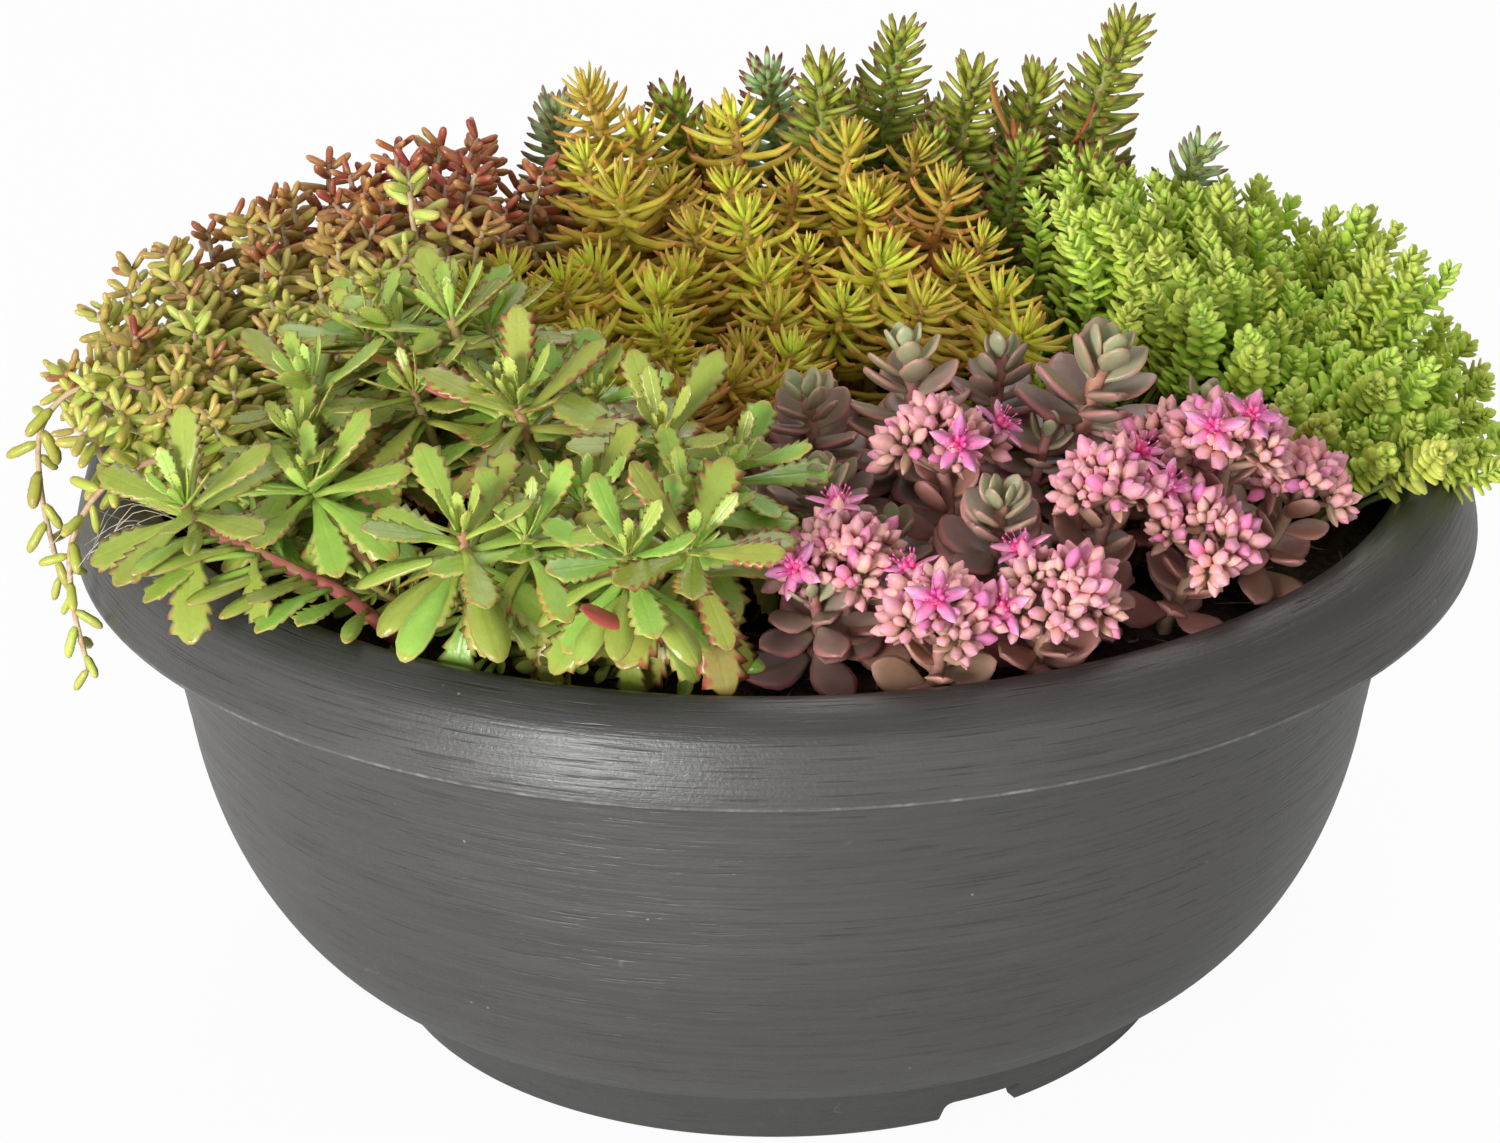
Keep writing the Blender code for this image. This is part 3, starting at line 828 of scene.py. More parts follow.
def smooth_route(points, steps):
    """A smooth path through all the points."""
    knots = np.array(points, float)
    knots = np.vstack([2 * knots[0] - knots[1], knots, 2 * knots[-1] - knots[-2]])
    path = []
    for amount in np.linspace(0, len(points) - 1, steps):
        span = min(int(amount), len(points) - 2)
        part = amount - span
        before, begin, end, after = knots[span:span + 4]
        path.append(0.5 * (2 * begin + (end - before) * part
                           + (2 * before - 5 * begin + 4 * end - after) * part ** 2
                           + (3 * begin - before - 3 * end + after) * part ** 3))
    return np.array(path)


def thinning(path, thick, thin):
    """A stem's radius at each point of its path, for two radii in mm."""
    return np.linspace(thick, thin, len(path)) * MM


print("a stem's path has", len(climb(np.zeros(3), np.ones(3), np.ones(3))), "points")


# %% Places of leaves
def chance(rng, mean, spread, count):
    """Chance shares from 0 to 1 around a mean."""
    return np.clip(rng.normal(mean, spread, count), 0, 1)


def leaf_places(path, rng, count, span, crowd=1.0, turn=GOLDEN, rise=(0, 70), ease=1.0,
                size=(1.0, 0.5), age=(1.0, 0.0), bend=(0.0, 0.3), sag=0.0, off=0.8, shake=1.0,
                pairs=1, lit=0.0, taper=1.0):
    """Where the leaves of a shoot sit and how they point.

    The pairs of numbers go from the lowest leaf to the youngest; rise is in degrees above
    square to the stem, span is a share of the path, off is in mm from its middle, sag bends
    old leaves down, lit turns faces up to the light, a crowd above 1 gathers the leaves at the
    tip, an ease above 1 keeps all but the youngest spread, and a taper above 1 keeps them large.
    """
    index = np.arange(count)
    young = index / max(count - 1, 1)
    between = lambda ends, share=young: ends[0] + (ends[1] - ends[0]) * share
    at = between(span, 1 - (1 - young) ** crowd) * (len(path) - 1)
    place, ahead, side, other = (read_at(values, at) for values in (path, *frames(path)))
    heading = (rng.uniform(0, math.tau) + turn * (index // pairs)
               + (index % pairs) * math.tau / pairs)
    heading = heading + rng.normal(0, 0.12 * shake, count)
    out = unit(np.cos(heading)[:, None] * side + np.sin(heading)[:, None] * other)
    tilt = np.radians(between(rise, young ** ease) + rng.normal(0, 5 * shake, count))[:, None]
    way = np.cos(tilt) * out + np.sin(tilt) * unit(ahead)
    face = np.cos(tilt) * unit(ahead) - np.sin(tilt) * out
    way[:, 2] -= sag * (1 - young) * np.cos(tilt[:, 0])
    way = unit(way)
    across = unit(np.cross(way, face + np.array([0, -0.3 * lit, lit])))
    face = np.cross(across, way)
    roll = rng.normal(0, 0.10 * shake, count)[:, None]
    across, face = (across * np.cos(roll) + face * np.sin(roll),
                    face * np.cos(roll) - across * np.sin(roll))
    return dict(spots=place + out * off * MM, axes=np.stack([across, way, face], axis=2),
                scales=np.clip(between(size, young ** taper)
                               * rng.normal(1, 0.06 * shake, count), 0.12, None),
                bends=between(bend) + rng.normal(0, 0.08 * shake, count), age=between(age),
                tint=chance(rng, rng.random(), 0.14, count))


# %% [markdown]
# ## Where the shoots stand
# The CAD shoots mark the crowns of each plant. The rest of each plant is filled with shoots on a
# loosely shaken honeycomb: a spot belongs to the plant whose CAD crown is nearest, and its
# height follows the crowns around it. A shoot points up and away from the heart of its plant.
# Shoots scattered by chance alone would clump and leave holes, and in plain rows they would look
# sown by a machine, so the honeycomb is shaken by a sixth of its gap.

# %% Crowns of the plants
KINDS = {"toothed": "toothed_shoot", "bean": "bean_leaf_shoot", "golden": "golden_shoot",
         "spruce": "spruce_leaf_spike", "moss": "moss_tuft", "round": "round_leaf_rosette",
         "flower": "flower_head"}
crowns = {kind: [] for kind in KINDS}
for node in sorted(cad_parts):
    for kind, stem_name in KINDS.items():
        if node.startswith(stem_name):
            low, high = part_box(node)
            crowns[kind].append((node, np.array([(low.x + high.x) / 2, (low.y + high.y) / 2,
                                                 high.z])))
hearts = {kind: np.mean([crown for _, crown in found], axis=0) for kind, found in crowns.items()}
hearts["toothed"] *= 0.5        # this plant leans out over the rim as a whole
print({kind: len(found) for kind, found in crowns.items()})


# %% Height and owner of a place
FIELD = 200 * MM                # the honeycomb reaches this far from the middle
ROW_PITCH = 0.87                # from row to row, as a share of the gap
SHAKEN = 0.17                   # how far chance moves a spot, as a share of the gap
FALL = 0.10                     # how fast the tops fall away from the crowns
OVER_RIM = 148 * MM             # a shoot further out than this stands over the rim


def canopy(kind, x, y):
    """Height of a plant's top at a place, from its nearest crowns, and how far those are."""
    tops = np.array([crown for _, crown in crowns[kind]])
    far = np.hypot(tops[:, 0] - x, tops[:, 1] - y)
    near = np.argsort(far)[:4]
    weight = 1 / (far[near] ** 2 + (8 * MM) ** 2)
    return (tops[near, 2] * weight).sum() / weight.sum(), far.min()


def owner_of(x, y):
    """The plant whose crown is nearest."""
    return min((math.hypot(crown[0] - x, crown[1] - y), kind)
               for kind in crowns for _, crown in crowns[kind])[1]


def at_place(value, x, y):
    """A number as it is, or what a function says of the place."""
    return value(x, y) if callable(value) else value


print("a shoot stands over the rim from", round(OVER_RIM / MM), "mm outwards")


# %% Spots between the crowns
def honeycomb(gap, rng):
    """Places on a loosely shaken honeycomb, a gap apart."""
    rows, columns = int(FIELD / (gap * ROW_PITCH)) + 1, int(FIELD / gap) + 1
    for row in range(-rows, rows + 1):
        for column in range(-columns, columns + 1):
            yield ((column + 0.5 * (row % 2)) * gap + rng.normal(0, SHAKEN) * gap,
                   row * gap * ROW_PITCH + rng.normal(0, SHAKEN) * gap)


def filling(kind, gap, rng, reach, also=(), clear=0.6, lower=0.0):
    """Tops for shoots between the crowns, on ground that belongs to this plant.

    They stand within reach of the middle and clear gaps from a crown, and lower sinks them.
    """
    spots = []
    for x, y in honeycomb(gap, rng):
        if math.hypot(x, y) > at_place(reach, x, y) or owner_of(x, y) not in (kind, *also):
            continue
        top, alone = canopy(kind, x, y)
        if alone > clear * gap:
            drop = FALL * max(alone - gap, 0) + rng.uniform(0, 5) * MM + at_place(lower, x, y)
            least = rim_top + 5 * MM if math.hypot(x, y) > OVER_RIM else SOIL + 16 * MM
            spots.append(np.array([x, y, max(top - drop, least)]))
    return spots


def near_soil(spot, rng, least, most):
    """The same place, with the shoot's top only so many mm above the compost."""
    return spot * (1, 1, 0) + (0, 0, SOIL + rng.uniform(least, most) * MM)


# %% The path of a shoot
ROOT_LIMIT = 143 * MM           # no root is further out than this
LEAN_AT = 60 * MM               # distance from a plant's heart at which it leans by its spread


def way_up(kind, tip, spread, rng, shake=0.12):
    """The way a shoot points: up, away from its plant's heart, and a little by chance."""
    away = (tip - hearts[kind]) * (1, 1, 0) * spread / LEAN_AT
    return unit(np.array([0, 0, 1.0]) + away + rng.normal(0, shake, 3) * (1, 1, 0.3))


def path_to(tip, way, sink=0.0, pull=0.86):
    """A stem's path: its root is nearer the middle than its tip, and it ends sink below it."""
    end = tip - way * sink * MM
    share = min(pull, ROOT_LIMIT / from_axis(end))
    return climb(np.array([end[0] * share, end[1] * share, SOIL - 3 * MM]), end, way)


ROUTES = {                      # stems that arch or hang, as points in mm
    "toothed_shoot_05": [(-84, -104, 131), (-98, -112, 150), (-110, -112, 157),
                         (-122, -107, 161), (-132, -105, 165), (-136, -108, 173)],
    "toothed_shoot_08": [(-80, -90, 131), (-94, -94, 150), (-104, -96, 164), (-108, -98, 172)],
    "trailing_stem_01": [(-130, -30, 133), (-148, -29, 166), (-168, -25, 169), (-180, -20, 157),
                         (-182, -17, 138), (-179, -14, 113)],
    "trailing_stem_02": [(-123, -50, 133), (-142, -55, 160), (-158, -60, 159), (-168, -64, 146),
                         (-169, -66, 130), (-166, -67, 112)],
}


def route(node, steps):
    """The smooth path of a stem that arches or hangs."""
    return smooth_route(np.array(ROUTES[node]) * MM, steps)


print("stems that arch or hang:", list(ROUTES))


# %% Growing a plant
def grow(kind, shoot, finishes, spread=0.3, sink=4.0, pull=0.86, others=None, lower=0.0,
         **settings):
    """One piece for each CAD shoot of a plant; others names the shoots that grow differently."""
    total = 0
    for index, (node, crown) in enumerate(crowns[kind]):
        rng = np.random.default_rng(100 + index)
        bunch = Bunch()
        crown = crown - np.array([0, 0, at_place(lower, crown[0], crown[1])])
        path = path_to(crown, way_up(kind, crown, spread, rng), sink, pull)
        if node in ROUTES:
            path = route(node, 16)
        (others or {}).get(node, shoot)(bunch, path, rng, **settings)
        total += len(bunch.make(node + "_grown", kind, finishes, node).data.polygons)
    print(kind, "crowns:", len(crowns[kind]), "pieces,", total, "faces")


def fill(name, kind, shoot, finishes, spots, seed, spread=0.3, sink=4.0, pull=0.86, shake=0.12,
         **settings):
    """All the shoots between the crowns of a plant, as one piece."""
    rng = np.random.default_rng(seed)
    bunch = Bunch()
    for spot in spots:
        path = path_to(spot, way_up(kind, spot, spread, rng, shake), sink, pull)
        shoot(bunch, path, rng, **settings)
    made = bunch.make(name, kind if kind != "flower" else "round", finishes)
    print(name, len(spots), "shoots,", len(made.data.polygons), "faces")


# %% [markdown]
# ## Leaf finishes
# All the leaves share one recipe: a young colour and a grown colour mixed by the leaf's age, a
# flushed colour for leaves in the sun, a coloured margin and tip, dots at the points of teeth,
# soft blotches, and a faint waxy bump. Light goes a little way into a fleshy leaf, which the
# subsurface setting gives.

# %% Leaf finish recipe
def leaf_finish(name, young, grown, flushed, tip, tip_from=0.85, tip_share=0.8, margin=None,
                margin_from=0.8, dots=None, rough=0.34, spread=0.05, glow=0.1, midrib=0.0,
                young_until=0.6, tip_full=1.03):
    """The recipe: colours in the order young, grown, flushed and tip, and where each shows."""
    skin = Finish(name, Subsurface_Weight=glow, Subsurface_Scale=1.5 * MM,
                  Subsurface_Radius=(1.0, 0.8, 0.25), Specular_IOR_Level=0.45)
    along, edge, age = skin.told("blade")
    tint, blush, mark = skin.told("mood")
    blotch, fine = skin.noise(5 * MM, 3.0, 0.6), skin.noise(0.8 * MM, 2.0)
    tone = skin.mix(skin.fade(age, 0.0, young_until), young, grown)
    tone = skin.mix(skin.fade(along, 0.0, 0.4, 0.4, 0.0), tone, young)
    amount = skin.times(blush, skin.fade(blotch, 0.25, 0.6, 0.6, 1.0))
    tone = skin.mix(amount, tone, flushed)
    if margin:
        rim = skin.times(skin.fade(edge, margin_from, 1.0), skin.fade(along, 0.2, 0.5, 0.0, 0.75))
        margin = skin.mix(skin.fade(blush, 0.05, 0.3), margin, tip)
        tone = skin.mix(skin.times(rim, skin.fade(age, 0, 0.5, 0.4, 1)), tone, margin)
    if dots:
        tone = skin.mix(skin.fade(mark, 0.5, 0.9, 0.0, 0.9), tone, dots)
    end = skin.fade(skin.plus(along, skin.times(blotch, 0.06)), tip_from + 0.03, tip_full, 0.0,
                    tip_share)
    tone = skin.mix(skin.times(end, skin.fade(tint, 0.0, 0.8, 0.5, 1)), tone, tip)
    mottle = skin.fade(skin.plus(blotch, skin.times(fine, 0.3)), 0.45, 0.9, 0, 0.4)
    tone = skin.mix(mottle, tone, skin.mix(1.0, tone, (0.62, 0.70, 0.5), "MULTIPLY"))
    height = skin.plus(skin.times(blotch, 0.6), skin.times(fine, 0.2))
    if midrib:
        height = skin.minus(height, skin.fade(edge, 0.0, 0.25, midrib, 0.0))
    return skin.finish(Base_Color=skin.shade(tone, tint, spread),
                       Roughness=skin.fade(blotch, 0.3, 0.7, rough - 0.05, rough + 0.10),
                       Normal=skin.bump(height, 0.25 * MM))


# %% Stem finish recipe
def stem_finish(name, low, high, flushed):
    """One colour at the root, another at the tip, and a third where the sun has reached."""
    bark = Finish(name, Specular_IOR_Level=0.4)
    along, _, _ = bark.told("blade")
    tint, blush, _ = bark.told("mood")
    blotch = bark.noise(3 * MM, 3.0, 0.6)
    tone = bark.mix(bark.fade(along, 0.2, 0.9), low, high)
    tone = bark.mix(bark.times(blush, bark.fade(blotch, 0.3, 0.7)), tone, flushed)
    tone = bark.mix(bark.fade(blotch, 0.45, 0.75, 0.0, 0.35), tone, (0.12, 0.08, 0.04))
    return bark.finish(Base_Color=bark.shade(tone, tint, 0.03),
                       Roughness=bark.fade(blotch, 0.3, 0.7, 0.45, 0.6),
                       Normal=bark.bump(blotch, 0.3 * MM))


# %% [markdown]
# ## Toothed stonecrop
# At the front left: open rosettes of flat fleshy leaves that widen towards a blunt end, with a
# few teeth on each side of the upper half and a rusty dot at each tooth. A flat card with a
# toothed outline would have no thickness, and these leaves are as thick as a coin. So the leaf is
# drawn out of an eight-sided end face, and then every second corner of its edge is pulled out.

# %% The toothed leaf
TOOTHED_SECTIONS = [(0, 2.6, 1.7), (4, 3.0, 1.5), (8, 4.4, 1.35), (11, 5.9, 1.3), (13, 7.0, 1.3),
                    (14.6, 7.3, 1.3), (16.2, 8.3, 1.3), (17.8, 8.1, 1.25), (19.4, 8.9, 1.2),
                    (21, 8.2, 1.2), (22.6, 8.0, 1.1), (24.2, 6.0, 1.0), (25.6, 3.9, 0.9),
                    (26.4, 1.6, 0.5)]
TOOTH = (1.2 * MM, 1.25 * MM)   # how far a tooth stands out and points forward


def toothed_leaf():
    """A leaf with its teeth pulled out, which also keeps a mark at their points."""
    made = draw_leaf("toothed_leaf", 8, TOOTHED_SECTIONS, fold=0.4)
    rows = [(at * MM, width / 2 * MM) for at, width, _ in TOOTHED_SECTIONS[4:11:2]]
    for side in (-1, 1):
        for at, half in rows:
            pick(made, lambda co: abs(co.y - at) < 0.1 * MM and side * co.x > half * 0.9)
            bpy.ops.transform.translate(value=(side * TOOTH[0], TOOTH[1], 0.3 * MM))
    return Shape(made, lambda co: any(abs(co.y - at - TOOTH[1]) < 0.1 * MM and abs(co.x) > half
                                      for at, half in rows))


toothed_shape = toothed_leaf()
plain_shape = Shape(draw_leaf("plain_leaf", 6, [(0, 2.4, 1.8), (5, 2.9, 1.6), (10, 5.4, 1.5),
                                                (15, 7.9, 1.5), (19, 8.6, 1.5), (22.5, 7.3, 1.4),
                                                (25, 4.2, 1.0), (26, 1.5, 0.6)]))
print("toothed leaf:", len(toothed_shape.sizes), "faces")

# %% Toothed leaf and stem finishes
toothed_finishes = [
    leaf_finish("toothed_leaf", (0.62, 0.77, 0.18), (0.36, 0.52, 0.085), (0.50, 0.44, 0.10),
                (0.52, 0.15, 0.07), tip_from=0.88, tip_share=0.5, margin=(0.55, 0.50, 0.15),
                margin_from=0.82, dots=(0.36, 0.06, 0.04), rough=0.25, midrib=0.2),
    stem_finish("toothed_stem", (0.50, 0.22, 0.12), (0.52, 0.46, 0.16), (0.62, 0.16, 0.13)),
]
print("finishes:", [finish.name for finish in toothed_finishes])


# %% A toothed shoot
def hang_over(bunch, path, rng, size):
    """Broad leaves that a shoot beside the rim hangs out over it."""
    out = unit(path[-1] * (1, 1, 0))
    turn = np.radians((-62, -24, 12, 46) + rng.normal(0, 7, 4))[:, None]
    ways = unit(np.cos(turn) * out + np.sin(turn) * np.cross((0, 0, 1), out) + (0, 0, -0.12))
    root = path[-1] - (0, 0, 7 * MM)
    bunch.copies(plain_shape, root + ways * 1 * MM + rng.uniform(-3, 2, (4, 1)) * (0, 0, MM),
                 face_up(ways), size * rng.uniform(0.95, 1.15, 4), rng.uniform(-0.9, -0.5, 4),
                 age=0.8, tint=rng.random(4), blush=rng.random(4) * 0.12)


def toothed_shoot(bunch, path, rng, size=1.0, low_leaves=7, red=0.0, sun=0.0):
    """A rosette on a stem: spread outer leaves, an upright heart and a few leaves below."""
    bunch.stem(path, thinning(path, 1.9, 1.3) * size, rng.random(),
               max(red, rng.uniform(0.1, 0.8)))
    flush = max(sun, 0.22 if rng.random() < 0.25 else 0.02)
    outer = leaf_places(path, rng, 10, (0.87, 0.985), rise=(-8, 34), bend=(-0.3, 0.1), off=1.0,
                        size=(1.06 * size, 0.84 * size), age=(1.0, 0.5), sag=0.15, shake=0.8,
                        lit=0.4)
    heart = leaf_places(path, rng, 9, (0.985, 1.0), rise=(40, 80), bend=(0.1, 0.4), off=0.5,
                        size=(0.62 * size, 0.2 * size), age=(0.4, 0.0))
    for places, width in ((outer, 1.0), (heart, 0.8)):
        n = len(places["age"])
        bunch.copies(toothed_shape, **places, wide=rng.normal(width, 0.07, n),
                     blush=chance(rng, flush, 0.12, n) * places["age"])
    lower = leaf_places(path, rng, low_leaves, (0.55, 0.88), rise=(-14, 2), bend=(-1.0, -0.6),
                        size=(0.85 * size, 1.06 * size), age=(1.0, 0.8), sag=0.1, off=1.0, lit=0.6)
    bunch.copies(toothed_shape, **lower, wide=0.95, blush=chance(rng, flush, 0.25, low_leaves))
    if from_axis(path[-1]) > OVER_RIM and not red:
        hang_over(bunch, path, rng, size)


# %% The arching shoot
def toothed_arch(bunch, path, rng):
    """The red stem that arches out to the left, with leaves all along it."""
    toothed_shoot(bunch, path, rng, low_leaves=1, red=1.0)
    count = 26
    at = np.linspace(0.16, 0.86, count) * (len(path) - 1)
    ahead = unit(read_at(frames(path)[0], at))
    hand = unit(np.cross(ahead, (0.0, 0.0, 1.0))) * np.where(np.arange(count) % 2, 1, -1)[:, None]
    lean = np.radians(rng.normal(42, 8, count))[:, None]
    ways = np.cos(lean) * hand + np.sin(lean) * ahead
    ways = ways + rng.normal(-0.12, 0.10, (count, 1)) * (0, 0, 1)
    shapes = rng.random(count) < 0.5
    for shape, chosen in ((toothed_shape, shapes), (plain_shape, ~shapes)):
        n = int(chosen.sum())
        bunch.copies(shape, (read_at(path, at) + hand * 1 * MM)[chosen], face_up(ways[chosen]),
                     rng.uniform(0.85, 1.05, n), rng.uniform(-0.6, -0.2, n), age=0.9,
                     tint=rng.random(n), blush=0.02, wide=0.66)


# %% Sunned and young shoots
def sunned_shoot(bunch, path, rng):
    """A shoot that has stood in full sun, with deep red edges."""
    toothed_shoot(bunch, path, rng, sun=0.45)


def fresh_shoot(bunch, path, rng, size=0.5):
    """A short young shoot with small bright leaves in crossed pairs."""
    bunch.stem(path, thinning(path, 1.2, 0.9), rng.random(), rng.random() * 0.5)
    places = leaf_places(path, rng, 12, (0.45, 1.0), rise=(5, 66), turn=math.pi / 2, pairs=2,
                         size=(size * 1.1, size * 0.5), age=(0.8, 0.0), bend=(-0.1, 0.4), off=0.6)
    bunch.copies(plain_shape, **places, blush=chance(rng, 0, 0.1, 12))


# %% Plant the toothed stonecrop
grow("toothed", toothed_shoot, toothed_finishes, sink=10, pull=0.84,
     others={"toothed_shoot_05": toothed_arch, "toothed_shoot_01": sunned_shoot,
             "toothed_shoot_04": sunned_shoot})
rng = np.random.default_rng(11)
arch = np.array(ROUTES["toothed_shoot_05"]) * MM
spots = [spot for spot in filling("toothed", 23 * MM, rng, 156 * MM)
         if np.hypot(*(arch - spot)[:, :2].T).min() > 17 * MM]
fill("toothed_mat", "toothed", toothed_shoot, toothed_finishes, spots, 12, sink=11, size=0.88)
spots = [near_soil(spot, rng, 12, 24)
         for spot in filling("toothed", 16 * MM, rng, 153 * MM, clear=0)
         if from_axis(spot) > 118 * MM and spot[0] < -15 * MM]
fill("toothed_young", "toothed", fresh_shoot, toothed_finishes, spots, 13, spread=0.7, sink=2)

# %% [markdown]
# ## Golden stonecrop
# The middle of the bowl: thick stems with fat curved leaves like the arms of a candle stand,
# yellow in the middle of each rosette, olive below, and orange or red at the tips. The leaf is
# drawn straight and is bent only when it is copied, so that one shape gives the upright young
# leaves and the curled old ones. Five sides are round enough for a leaf three millimetres thick.

# %% Golden leaf and its finish
golden_shape = Shape(draw_leaf("golden_leaf", 5, [(0, 2.7, 1.9), (4, 2.7, 2.1), (10, 2.6, 2.1),
                                                  (14, 1.9, 1.5), (15.8, 0.6, 0.5)]))
golden_finishes = [
    leaf_finish("golden_leaf", (0.86, 0.88, 0.11), (0.74, 0.62, 0.07), (0.76, 0.32, 0.08),
                (0.68, 0.22, 0.07), tip_from=0.62, tip_full=0.98, tip_share=0.8, rough=0.32),
    stem_finish("golden_stem", (0.44, 0.22, 0.09), (0.56, 0.42, 0.08), (0.58, 0.20, 0.08)),
]
print("golden leaf:", len(golden_shape.sizes), "faces")


# %% Golden shoots
def golden_shoot(bunch, path, rng, size=1.0):
    """A full crown of curved leaves, with a few drooping ones below it."""
    size *= rng.uniform(0.78, 1.15)
    bunch.stem(path, thinning(path, 1.8, 1.4) * size, rng.random(), rng.random())
    warm = max(rng.normal(0.2, 0.3), 0)
    count = int(rng.integers(33, 41))
    crown = leaf_places(path, rng, count, (0.74, 1.0), crowd=1.9, rise=(-30, 76), ease=1.6,
                        size=(1.08 * size, 0.34 * size), age=(1, 0), bend=(1.3, 0.15), off=1.0,
                        taper=1.3)
    lower = leaf_places(path, rng, 9, (0.34, 0.70), rise=(-15, 0), size=(0.8 * size, 1.0 * size),
                        age=(1, 1), bend=(0.5, 0.8), sag=0.1, off=1.0)
    for places in (crown, lower):
        blush = chance(rng, warm, 0.15, len(places["age"]))
        bunch.copies(golden_shape, **places, blush=blush * places["age"])


grow("golden", golden_shoot, golden_finishes, sink=7, pull=0.9, size=1.08)
rng = np.random.default_rng(21)
spots = filling("golden", 20 * MM, rng, 150 * MM)
fill("golden_mat", "golden", golden_shoot, golden_finishes, spots, 22, sink=10, pull=0.9,
     shake=0.2, size=0.9)

# %% [markdown]
# ## Bean-leaf stonecrop
# On the left and behind: thin stems with short leaves like beans. Those at the back have turned
# red-brown in the sun, those in front are olive and orange, and those over the left rim are
# fresh green. A colour ramp across the whole plant would cut through single leaves, so each leaf
# carries a flush of its own, which is worked out from where its shoot stands.

# %% Bean leaf and its finish
bean_shape = Shape(draw_leaf("bean_leaf", 6, [(0, 1.8, 1.6), (1.8, 3.2, 2.8), (6.8, 3.5, 3.1),
                                              (8.8, 2.5, 2.2), (9.6, 0.9, 0.8)]))
bean_finishes = [
    leaf_finish("bean_leaf", (0.66, 0.73, 0.17), (0.53, 0.62, 0.095), (0.48, 0.12, 0.065),
                (0.70, 0.30, 0.13), tip_from=0.66, tip_share=0.45, rough=0.30, spread=0.04),
    stem_finish("bean_stem", (0.46, 0.32, 0.20), (0.56, 0.46, 0.28), (0.56, 0.26, 0.18)),
]
print("bean leaf:", len(bean_shape.sizes), "faces")


# %% Bean-leaf shoots
def sun_flush(spot):
    """How red the bean leaves are: most at the back of the plant, least over the left rim."""
    back = np.clip((spot[1] - 10 * MM) / (60 * MM), 0, 1)
    return float(back * np.clip((spot[0] + 170 * MM) / (50 * MM), 0.15, 1))


def bean_shoot(bunch, path, rng, size=1.0, leaves=21, pale=0.0):
    """A thin crooked stem with pairs of bean-shaped leaves, flushed by the sun."""
    path = path.copy()
    path[1:-1] += rng.normal(0, 0.8 * MM, (len(path) - 2, 3))
    bunch.stem(path, thinning(path, 1.0, 0.7), rng.random(), rng.random())
    red = sun_flush(path[-1]) * (1 - pale)
    crown = leaf_places(path, rng, leaves, (0.48, 1.0), crowd=1.6, rise=(-16, 38), ease=2.8,
                        turn=math.radians(97), pairs=2, size=(1.02 * size, 0.56 * size),
                        age=(1 - pale, 0.0), bend=(0.45, 0.3), off=0.5, taper=1.7)
    warm = max(rng.normal(0.02, 0.14), 0)
    young = rng.uniform(0.0, 0.8) * (1 - crown["age"]) ** 2 * (pale < 0.5)
    flush = warm + red * (1 - 0.4 * crown["age"]) + young
    bunch.copies(bean_shape, **crown, blush=chance(rng, flush, 0.13, leaves))


# %% How far the bean-leaf plant reaches
LEFT = -100 * MM                # left of this the plant spills over the rim
MIDDLE = -36 * MM               # right of this the spruce-leaf plant has the back to itself


def bean_reach(x, y):
    """Past the rim on the left, most of all level with the middle, and none at the right."""
    if x < LEFT:
        return 182 * MM if abs(y) < 60 * MM else 168 * MM
    return 150 * MM if x < MIDDLE else 0


def bean_crowns_lower(x, y):
    """How much lower its crowns stand than their solids: most over the left rim."""
    if x < -160 * MM:
        return 12 * MM
    if y < 50 * MM:
        return 0
    return 2 * MM if x < LEFT else 6 * MM


def bean_mat_lower(x, y):
    """How much lower the shoots between the crowns stand, to the back and to the left."""
    left = 0 if x > -134 * MM or y < -10 * MM else 4 * MM if x > -168 * MM else 9 * MM
    return 0.55 * max(y - 70 * MM, 0) + left


# %% Plant the bean-leaf stonecrop
grow("bean", bean_shoot, bean_finishes, spread=0.5, sink=9, size=1.1, lower=bean_crowns_lower)
rng = np.random.default_rng(31)
spots = filling("bean", 13.7 * MM, rng, bean_reach, also=("spruce",), lower=bean_mat_lower)
fill("bean_mat", "bean", bean_shoot, bean_finishes, spots, 32, spread=0.5, sink=8, shake=0.25)
pale = Bunch()
bean_shoot(pale, path_to(np.array([-91, 26, 203]) * MM, np.array([0, 0, 1.0])),
           np.random.default_rng(33), size=1.3, leaves=18, pale=0.9)
pale.make("bean_pale_shoot", "bean", bean_finishes)
print("one pale shoot stands in front")

# %% [markdown]
# ### Trailing stems
# Two of its stems hang over the left rim. A stem could be let fall by a simulation, but where
# these two lie is known, so each is a smooth route through a few points, the same as its CAD
# stem's. The leaves are set singly along it, and chance turns them more than on other shoots.

# %% Trailing stems
def trail(bunch, path, rng, leaves=22, size=0.98):
    """A hanging stem with single leaves all along it."""
    bunch.stem(path, thinning(path, 0.95, 0.7), rng.random(), rng.uniform(0.4, 0.9))
    places = leaf_places(path, rng, leaves, (0.12, 1.0), rise=(12, 40), size=(size, size * 0.75),
                         age=(0.7, 0.3), bend=(0.3, 0.3), off=0.5, shake=2.2)
    bunch.copies(bean_shape, **places, blush=chance(rng, 0, 0.12, leaves))


for index, node in enumerate(("trailing_stem_01", "trailing_stem_02")):
    bunch = Bunch()
    trail(bunch, route(node, 36), np.random.default_rng(40 + index))
    bunch.make(node + "_grown", "bean", bean_finishes, node)
    print(node, "hangs to", ROUTES[node][-1][2], "mm")

# %% [markdown]
# ## Spruce-leaf stonecrop
# Along the back stand spikes like bottle brushes, green or blue-green, with every needle tipped
# maroon. A hundred needles stand round the upper half of a stem, crowded towards its tip. Only
# the last few turn upright, so that the spike stays thick and ends blunt. Below them a few older
# needles droop, and between the spikes and the rim stand short young ones.

